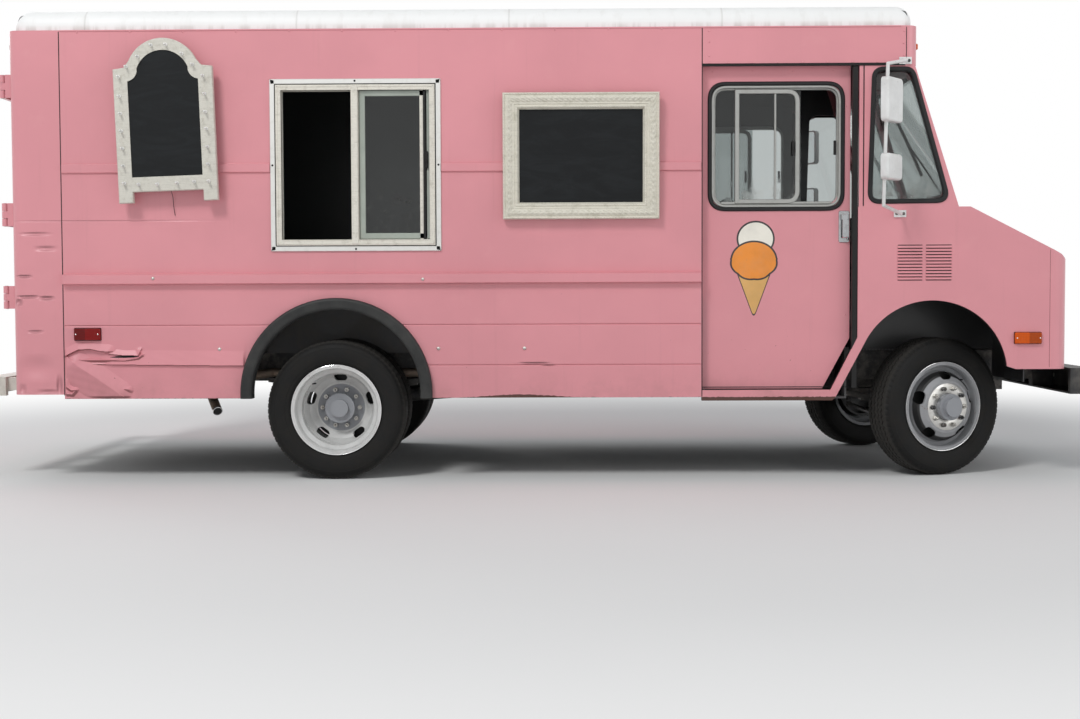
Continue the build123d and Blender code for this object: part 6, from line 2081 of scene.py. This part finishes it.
@dataclass(frozen=True)
class MarkerLamps:
    """Moulded lenses on thin bases, in place of the marker lamp node."""

    corner: float = 0.007
    border: float = 0.003
    front_marker: Point = (2.8555, 0.815)
    rear_marker: Point = (-2.566, 0.8545)
    clearance_row: Point = (-1.01, -0.2, 0.0, 0.2, 1.01)
    screw_face: float = -1.1715

    def lens(self, wide: float, tall: float, base: float, proud: float) -> list:
        """One lamp that faces -Y from the origin.

        Args:
            wide: its width.
            tall: its height.
            base: thickness of its base.
            proud: how far the lens stands out.

        Returns:
            Its base and its lens.
        """
        x, z, inset = wide / 2, tall / 2, self.border
        outline = rounded_outline(box_corners(-x, x, -z, z), self.corner, 6)
        inner = box_corners(inset - x, x - inset, inset - z, z - inset)
        inner = rounded_outline(inner, self.corner, 6)
        bevel = min(self.corner, tall / 6)
        return [plate(outline, -0.001, base, 0.001), plate(inner, base - 0.001, proud, bevel)]

    def build(self) -> None:
        """Lamps of the sides, the front and the rear, by colour."""
        bases, amber, red = [], [], []
        (x1, z1), (x0, z0) = self.front_marker, self.rear_marker
        row = self.clearance_row
        rows = [
            # colour, turn about Z, places, width, height, base, how far it stands out
            (amber, 0, [(x1, -WALL, z1)], 0.159, 0.07, 0.003, 0.022),
            (red, 0, [(x0, -WALL, z0)], 0.158, 0.075, 0.003, 0.022),
            (amber, 90, [(3.093, y, 0.835) for y in (-0.765, 0.765)], 0.15, 0.07, 0.003, 0.02),
            (amber, 90, [(2.217, y, 2.495) for y in row], 0.1, 0.04, 0.003, 0.02),
            (red, -90, [(-3.005, y, 2.52) for y in row], 0.1, 0.04, 0.003, 0.02),
            (red, -90, [(-3.005, y, 0.715) for y in (-1.015, 1.015)], 0.1, 0.15, 0.002, 0.009),
        ]
        for colour, degrees, places, *sizes in rows:
            for place in places:
                lamp = [part.placed(turn_about("Z", degrees), place) for part in self.lens(*sizes)]
                if degrees == 0:
                    lamp = [part.both_sides() for part in lamp]
                bases.append(lamp[0])
                colour.append(lamp[1])
        seat = Seat(slot="marker_plastic", replaces=("marker_lamps",))
        build("marker_bases", Surface.joined(bases), SEAM_BLACK, seat)
        build("amber_lenses", Surface.joined(amber), LENS_AMBER, PLASTIC)
        build("red_lenses", Surface.joined(red), LENS_RED, PLASTIC)
        spots = [(x1 + dx, self.screw_face, z1) for dx in (-0.066, 0.066)]
        spots += [(x0 + dx, self.screw_face, z0) for dx in (-0.064, 0.064)]
        screws = bolt_head(0.0045, 0.003, OUTWARD, 8).copied(spots)
        build("marker_screws", screws.both_sides(), CHROME, ALLOY)


@dataclass(frozen=True)
class FrontFittings:
    """Bright lamp rings, black strips of painted shadow in the gaps under the louvres, and bumper
    bolts.
    """

    lamp: Point = (-0.765, 1.01)
    bezel: Point = (3.103, 0.094)
    louvres: int = 11
    louvre_foot: float = 1.151
    louvre_pitch: float = 0.0182
    gap: Point = (0.0145, 0.0197)
    banks: Sequence[Point] = ((2.107, 2.248), (2.269, 2.415))
    bolts: Point = (-0.46, -0.38, 0.38, 0.46)

    def build(self) -> None:
        """Rings about the lamp axes, black strips as painted shadow under the louvres, then the
        bumper's fasteners.
        """
        bezel = lathe(circle(0.0075, 24) + self.bezel, 72, closed=True).shifted((0, *self.lamp))
        build("lamp_bezels", bezel.both_sides(), CHROME, ALLOY)
        low, high = self.gap
        # Black strips between the louvres: painted shadow under each louvre's lip.
        louvre_shadows = bars(*(
            ((x0, -WALL - 0.0006, foot + low), (x1, -WALL + 0.002, foot + high), 0.0004)
            for x0, x1 in self.banks
            for foot in self.louvre_foot + self.louvre_pitch * np.arange(-1, self.louvres)
        ))
        build("louvre_painted_shadows", louvre_shadows.both_sides(), SEAM_BLACK, RUBBER)
        spots = [(3.2365, y, 0.565) for y in self.bolts]
        bolts = bolt_head(0.014, 0.009, (1, 0, 0), 14).copied(spots)
        build("bumper_bolts", bolts, NUT_STEEL, STEEL)


@dataclass(frozen=True)
class TailPipe:
    """Bright rolled lip and sooty mouth at the exhaust's end."""

    start: Point = (-1.951, -0.8, 0.52)
    end: Point = (-1.85, -1.01, 0.395)
    radius: float = 0.028
    lip: Sequence[Point] = (
        # along the pipe, beyond its radius
        (-0.012, 0), (-0.012, 0.0008), (0.0015, 0.0008), (0.0025, -0.001), (0.0015, -0.003),
        (-0.002, -0.003),
    )

    def build(self) -> None:
        """Lip and mouth turned about the pipe's last stretch."""
        turn = facing(Vector(self.end) - Vector(self.start))
        lip = lathe(np.array(self.lip) + (0, self.radius), 36, closed=True)
        bore = self.radius - 0.0028
        mouth = lathe([(-0.002, 0.0), (-0.002, bore), (0.0006, bore), (0.0006, 0.0)], 36)
        build("tail_pipe_lip", lip.placed(turn, self.end), CHROME, Seat(slot="pipe_steel"))
        build("tail_pipe_mouth", mouth.placed(turn, self.end), SEAM_BLACK, RUBBER)


@dataclass(frozen=True)
class MirrorFittings:
    """Mirror glass, clamps and foot bolts on both mirror frames."""

    turn: float = -38.0
    post: Point = (2.014, -1.404)
    panes: Sequence[Point] = ((2.147, 0.245, 0.19), (1.777, 0.145, 0.185))
    inset: float = 0.01
    clamps: Point = (2.085, 2.205, 1.745, 1.81)
    feet: Sequence[Point] = ((2.142, -1.158, 2.4), (2.117, -1.158, 1.53))

    def build(self) -> None:
        """Glass on the rear faces, then clamps and bolts, all riding with the cab."""
        glass = []
        for z, tall, wide in self.panes:
            x, up = wide / 2 - self.inset, tall / 2 - self.inset
            outline = rounded_outline(box_corners(-x, x, -up, up), 0.018, 6)
            pane = plate(outline, 0.02, 0.0242, 0.001).placed(turn_about("Z", -90))
            glass.append(pane.placed(turn_about("Z", self.turn), (*self.post, z)))
        build("mirror_glass", Surface.joined(glass).both_sides(), MIRROR_GLASS, ALLOY)
        clamps = bars(*(
            ((1.962, -1.428, z - 0.016), (1.99, -1.398, z + 0.016), 0.004) for z in self.clamps
        ))
        spots = [(x + dx, y, z) for x, y, z in self.feet for dx in (-0.02, 0.02)]
        feet = bolt_head(0.01, 0.007, OUTWARD, 10).copied(spots)
        fittings = Surface.joined([clamps, feet]).both_sides()
        build("mirror_clamps", fittings, BLACK_FRAME, Seat(slot="frame_black"))


@dataclass(frozen=True)
class RearFittings:
    """Handles, hinge pins, rubber edges and a blank plate of the rear doors."""

    face: float = -3.01
    leaf: Point = (0.014, 0.918, 0.778, 2.432)
    hinges: Point = (1.07, 1.55, 2.29)
    hinge: Point = (-3.06, -1.075)
    pin: Sequence[Point] = ((-0.068, 0.0), (-0.068, 0.0085), (0.068, 0.0085), (0.068, 0.0))
    strap_face: float = -3.073
    strap_bolts: Point = (0.85, 0.93, 1.01)
    lever: Sequence[Point] = (
        (-3.018, -0.08, 1.395), (-3.05, -0.08, 1.39), (-3.055, -0.082, 1.35),
        (-3.055, -0.09, 1.27),
    )

    def build(self) -> None:
        """Pieces of the right leaf with their mirror images, then the plate."""
        outline = rounded_outline(box_corners(*self.leaf), 0.02, 5)
        path = np.stack([np.full(len(outline), self.face), -outline[:, 0], outline[:, 1]], 1)
        seal = sweep(strip_section(0.0, 0.014, -0.004, 0.004, 0.002), path, True, (-1, 0, 0))
        build_pair("rear_door_seal", seal, SEAM_BLACK, REAR_DOORS, "rubber")
        pins = lathe(self.pin, 14, "Z").copied([(*self.hinge, z) for z in self.hinges])
        spots = [(self.strap_face, -y, z) for z in self.hinges for y in self.strap_bolts]
        bolts = bolt_head(0.009, 0.007, (-1, 0, 0), 10).copied(spots)
        fasteners = Surface.joined([pins, bolts])
        build_pair("rear_hinge_bolts", fasteners, NUT_STEEL, REAR_DOORS, "galley_steel")
        grip = sweep(circle(0.008, 10), smooth_path(self.lever, 20), False, (0, 1, 0))
        scutcheon = bar((-3.02, -0.125, 1.29), (-3.009, -0.04, 1.43), 0.004)
        lever = Surface.joined([scutcheon, grip])
        build("rear_door_lever", lever, CHROME, Seat("right_rear_door", "window_aluminium"))
        blank = bar((-3.016, 0.36, 0.86), (-3.0095, 0.67, 1.01))
        build("blank_plate", blank, PLATE_WHITE, Seat("left_rear_door", "mirror_white"))
        bolts = bolt_head(0.006, 0.004, (-1, 0, 0), 10)
        bolts = bolts.copied([(-3.016, y, 0.995) for y in (0.4, 0.63)])
        build("plate_bolts", bolts, NUT_STEEL, Seat("left_rear_door", "galley_steel"))


@dataclass(frozen=True)
class Cushion:
    """One padded seat part: a box that a short cloth run fills with air."""

    name: str
    low: Point
    high: Point
    lean: float
    channels: Point
    axis: int
    cap: float = 0.014
    voxel: float = 0.0075
    power: float = 5.0
    pull: float = 0.16
    channel: float = 0.018
    pressure: float = 4.0
    steps: int = 20

    def blank(self) -> Surface:
        """Rounded box: a grid wrapped on |x|^p + |y|^p + |z|^p = 1, scaled to size."""
        u, v = np.meshgrid(
            np.linspace(0, TAU, 64, endpoint=False),
            np.linspace(-math.pi / 2, math.pi / 2, 34),
            indexing="ij",
        )
        ball = np.stack([np.cos(v) * np.cos(u), np.cos(v) * np.sin(u), np.sin(v)], axis=-1)
        size = (np.abs(ball) ** self.power).sum(-1, keepdims=True) ** (-1 / self.power)
        low, high = np.asarray(self.low), np.asarray(self.high)
        points = (low + high) / 2 + ball * size * (high - low) / 2
        return Surface.grid(points, wrap_rows=True)

    def sewn(self, points: Array) -> Array:
        """Pull the filled cover in along its sewn channels.

        A channel at c pulls by exp(-((share - c) / width)^2) of the way in.

        Args:
            points: the cover's points, (count, 3).

        Returns:
            The points after the pull.
        """
        low, high = np.asarray(self.low), np.asarray(self.high)
        middle, size = (low + high) / 2, high - low
        share = (points[:, self.axis] - low[self.axis]) / size[self.axis]
        pull = sum(np.exp(-(((share - c) / self.channel) ** 2)) for c in self.channels)
        thin = int(np.argmin(size))
        points = points.copy()
        points[:, thin] += (middle[thin] - points[:, thin]) * self.pull * pull
        return points

    def build(self) -> bpy.types.Object:
        """Fill, cap, sew and tip the cushion, then put it on the cab."""
        made = build(self.name, self.blank(), SEAT_VINYL, Seat(slot="seat_vinyl"))
        made.parent = None
        self.fill(made)
        mesh = made.data
        points = np.zeros(len(mesh.vertices) * 3, np.float32)
        mesh.vertices.foreach_get("co", points)
        points = self.sewn(points.reshape(-1, 3).astype(float))
        foot = np.array([(self.low[0] + self.high[0]) / 2, 0.0, self.low[2]])
        points = (points - foot) @ turn_about("Y", self.lean).T + foot
        mesh.vertices.foreach_set("co", points.astype(np.float32).ravel())
        mesh.polygons.foreach_set("use_smooth", np.ones(len(mesh.polygons), bool))
        mesh.update()
        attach(made, "root")
        return made

    def fill(self, made: bpy.types.Object) -> None:
        """Remesh evenly, run the cloth under pressure and keep the capped result.

        Args:
            made: the blank, whose mesh is replaced by the filled one.
        """
        remesh = made.modifiers.new("even", "REMESH")
        remesh.mode = "VOXEL"
        remesh.voxel_size = self.voxel
        graph = bpy.context.evaluated_depsgraph_get()
        even = bpy.data.meshes.new_from_object(made.evaluated_get(graph))
        made.modifiers.clear()
        made.data = even
        rest, grown_to = (np.zeros(len(even.vertices) * 3, np.float32) for _ in range(2))
        even.vertices.foreach_get("co", rest)
        cloth = made.modifiers.new("filled", "CLOTH")
        cloth.settings.use_pressure = True
        cloth.settings.uniform_pressure_force = self.pressure
        cloth.settings.quality = 4
        cloth.settings.tension_stiffness = 25.0
        cloth.settings.effector_weights.gravity = 0.0
        for step in range(1, self.steps + 1):
            bpy.context.scene.frame_set(step)
        graph = bpy.context.evaluated_depsgraph_get()
        made.evaluated_get(graph).data.vertices.foreach_get("co", grown_to)
        made.modifiers.clear()
        bpy.context.scene.frame_set(1)
        move = (grown_to - rest).reshape(-1, 3)
        length = np.linalg.norm(move, axis=1, keepdims=True)
        move *= np.minimum(1.0, self.cap / np.maximum(length, 1e-9))
        even.vertices.foreach_set("co", (rest.reshape(-1, 3) + move).ravel())
        even.materials.clear()
        even.materials.append(SEAT_VINYL.material())


@dataclass(frozen=True)
class CabFittings:
    """Driver's seat, gauges, shift lever and pedals."""

    cushions: Sequence[Cushion] = (
        Cushion(
            "seat_cushion", (1.345, 0.362, 1.064), (1.79, 0.79, 1.165), 0.0, (0.28, 0.5, 0.72), 1
        ),
        Cushion(
            "seat_back", (1.345, 0.372, 1.15), (1.45, 0.78, 1.74), -9.0, (0.22, 0.45, 0.68), 2
        ),
    )
    dial: Sequence[Point] = (
        # along the dial's axis, radius
        (0.0, 0.0), (0.0, 0.034), (0.004, 0.038), (0.012, 0.04), (0.012, 0.036), (0.006, 0.034),
        (0.006, 0.0),
    )
    dials: Point = (0.46, 0.56, 0.66, 0.76)
    lever: Sequence[Point] = ((1.86, 0.3, 1.148), (1.85, 0.3, 1.26), (1.8, 0.31, 1.38))
    knob: float = 0.024

    def build(self) -> None:
        """Cushions first, then the hard parts that carry them."""
        for cushion in self.cushions:
            cushion.build()
        base = bars(
            ((1.43, 0.42, 0.76), (1.7, 0.7, 0.79), 0.008),
            ((1.47, 0.46, 0.79), (1.66, 0.66, 1.0), 0.012),
            ((1.4, 0.4, 1.0), (1.74, 0.75, 1.06), 0.01),
            ((1.3, 0.52, 1.03), (1.345, 0.62, 1.3), 0.008),
        )
        build("seat_base", base, AXLE_BLACK, Seat(slot="dash_black", replaces=("driver_seat",)))
        dials = lathe(self.dial, 32).placed(turn_about("Z", 180))
        dials = dials.copied([(2.212, y, 1.435) for y in self.dials])
        build("gauge_rings", dials, CHROME, CAB_BLACK)
        housing = bar((2.215, 0.39, 1.375), (2.262, 0.83, 1.495), 0.012)
        build("gauge_housing", housing, DASH_BLACK, CAB_BLACK)
        stick = sweep(circle(0.007, 8), smooth_path(self.lever, 14), False, (0, 1, 0))
        angle = np.linspace(-1.5, 1.5, 12)
        knob = lathe(self.knob * np.stack([np.sin(angle), np.cos(angle)], 1), 20, "Z")
        lever = Surface.joined([stick, knob.shifted((1.797, 0.31, 1.395))])
        build("shift_lever", lever, DASH_BLACK, CAB_BLACK)
        pedals = bars(
            ((2.15, 0.5, 0.85), (2.17, 0.58, 0.93), 0.006),
            ((2.15, 0.66, 0.85), (2.17, 0.71, 0.96), 0.006),
            ((2.165, 0.53, 0.88), (2.39, 0.55, 0.9), 0.004),
            ((2.165, 0.675, 0.9), (2.39, 0.695, 0.92), 0.004),
        )
        build("pedals", pedals, AXLE_BLACK, CAB_BLACK)


@dataclass(frozen=True)
class GalleyFittings:
    """Cabinet doors, handles and freezer lids in the load space."""

    doors: Point = (-1.685, -1.335, -0.985, -0.635)
    door_pulls: Point = (-1.575, -1.225, -0.875, -0.525)
    lids: Point = (-0.56, -0.25)
    lid_pulls: Point = (-0.465, -0.155)

    def build(self) -> None:
        """Door panels on the cabinet, lids and handles on the freezer."""
        panels = bars(
            *(((x, -0.5605, 0.8), (x + 0.33, -0.548, 1.26), 0.004) for x in self.doors),
            ((-0.545, 0.468, 0.84), (0.025, 0.481, 1.5), 0.005),
            *(((x, 0.485, 1.6185), (x + 0.29, 1.03, 1.634), 0.006) for x in self.lids),
        )
        build("galley_panels", panels, GALLEY_STEEL, STEEL)
        pulls = bars(
            *(((x, -0.549, 1.2), (x + 0.11, -0.532, 1.212), 0.003) for x in self.door_pulls),
            *(((x, 0.5, 1.634), (x + 0.1, 0.52, 1.652), 0.004) for x in self.lid_pulls),
        )
        build("galley_pulls", pulls, CHROME, ALLOY)


@dataclass(frozen=True)
class Studio:
    """Pale floor, white surroundings and soft light, with the photo's viewpoint."""

    floor_half: float = 400.0
    eye: Point = (0.153, -9.801, 1.09)
    yaw: float = 0.674
    pitch: float = -2.58
    roll: float = -0.22
    lens: float = 50.0
    sky: float = 0.46

    def build(self) -> None:
        """Floor, world, lamps and camera."""
        self.floor()
        self.world()
        self.lamp("key", (-6.0, -11.5, 12.5), (0.2, -1.0, 1.1), 3.6, 1080.0)
        self.lamp("fill", (9.0, -6.0, 5.0), (1.5, 0.0, 1.2), 6.0, 170.0)
        self.lamp("rear_fill", (-9.0, 8.0, 7.0), (-1.0, 0.0, 1.2), 6.0, 330.0)
        self.camera()

    def floor(self) -> None:
        """A level round sheet at z = 0 that reaches past the horizon's white."""
        distance = np.concatenate([[0.0], np.geomspace(2.0, self.floor_half, 24)])
        flat = np.stack([np.full_like(distance, -0.0005), distance], axis=1)
        disc = lathe(flat, 96, "Z")
        floor = build("studio_floor", disc, StudioBackdrop(), Seat(slot="floor_steel"))
        floor.parent = None
        del floor["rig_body"]
        del floor["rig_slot"]

    def world(self) -> None:
        """White where the camera or a glossy ray looks, softer as a light."""
        world = bpy.data.worlds.new("studio")
        bpy.context.scene.world = world
        world.use_nodes = True
        tree = world.node_tree
        tree.nodes.clear()
        output = tree.nodes.new("ShaderNodeOutputWorld")
        mix = tree.nodes.new("ShaderNodeMixShader")
        seen = tree.nodes.new("ShaderNodeBackground")
        light = tree.nodes.new("ShaderNodeBackground")
        ray = tree.nodes.new("ShaderNodeLightPath")
        seen.inputs["Color"].default_value = (1.0, 1.0, 1.0, 1.0)
        light.inputs["Color"].default_value = (0.93, 0.96, 1.0, 1.0)
        light.inputs["Strength"].default_value = self.sky
        shown = ray.outputs["Is Camera Ray"]
        for name in ("Is Glossy Ray", "Is Transmission Ray"):
            either = tree.nodes.new("ShaderNodeMath")
            either.operation = "MAXIMUM"
            tree.links.new(shown, either.inputs[0])
            tree.links.new(ray.outputs[name], either.inputs[1])
            shown = either.outputs[0]
        tree.links.new(shown, mix.inputs[0])
        tree.links.new(light.outputs[0], mix.inputs[1])
        tree.links.new(seen.outputs[0], mix.inputs[2])
        tree.links.new(mix.outputs[0], output.inputs[0])

    def lamp(self, name: str, place: Point, aim: Point, size: float, power: float) -> None:
        """One large soft lamp.

        Args:
            name: its name.
            place: where it hangs.
            aim: the point that it faces.
            size: side of its square.
            power: watts.
        """
        light = bpy.data.lights.new(name, "AREA")
        light.size = size
        light.energy = power
        made = bpy.data.objects.new(name, light)
        made.location = place
        made.rotation_euler = (Vector(aim) - Vector(place)).to_track_quat("-Z", "Y").to_euler()
        bpy.context.scene.collection.objects.link(made)

    def camera(self) -> None:
        """Camera at the photo's place: on +Y, then yaw, pitch and roll."""
        lens = bpy.data.cameras.new("camera")
        lens.lens = self.lens
        lens.sensor_width = 36.0
        camera = bpy.data.objects.new("camera", lens)
        turn = (
            Matrix.Rotation(math.radians(self.yaw), 4, "Z")
            @ Matrix.Rotation(math.radians(90 + self.pitch), 4, "X")
            @ Matrix.Rotation(math.radians(self.roll), 4, "Z")
        )
        camera.matrix_world = Matrix.Translation(self.eye) @ turn
        bpy.context.scene.collection.objects.link(camera)
        bpy.context.scene.camera = camera
        bpy.context.scene.view_settings.view_transform = "Standard"


def main() -> None:
    """Build the looks in order, from the big sheets to the small fittings."""
    logging.basicConfig(level=logging.INFO, format="%(name)s: %(message)s")
    parts = (
        Dressing(), Tyres(), WheelFittings(), BodySeams(), RearCornerCrumple(), DoorWindows(),
        DoorFittings(), CabGlazing(), ServingHatch(), MenuFrame(), SignFittings(), MarkerLamps(),
        FrontFittings(), TailPipe(), MirrorFittings(), RearFittings(), CabFittings(),
        GalleyFittings(), Studio(),
    )
    for part in parts:
        LOG.info("building %s", type(part).__name__)
        part.build()


if __name__ == "__main__":
    main()
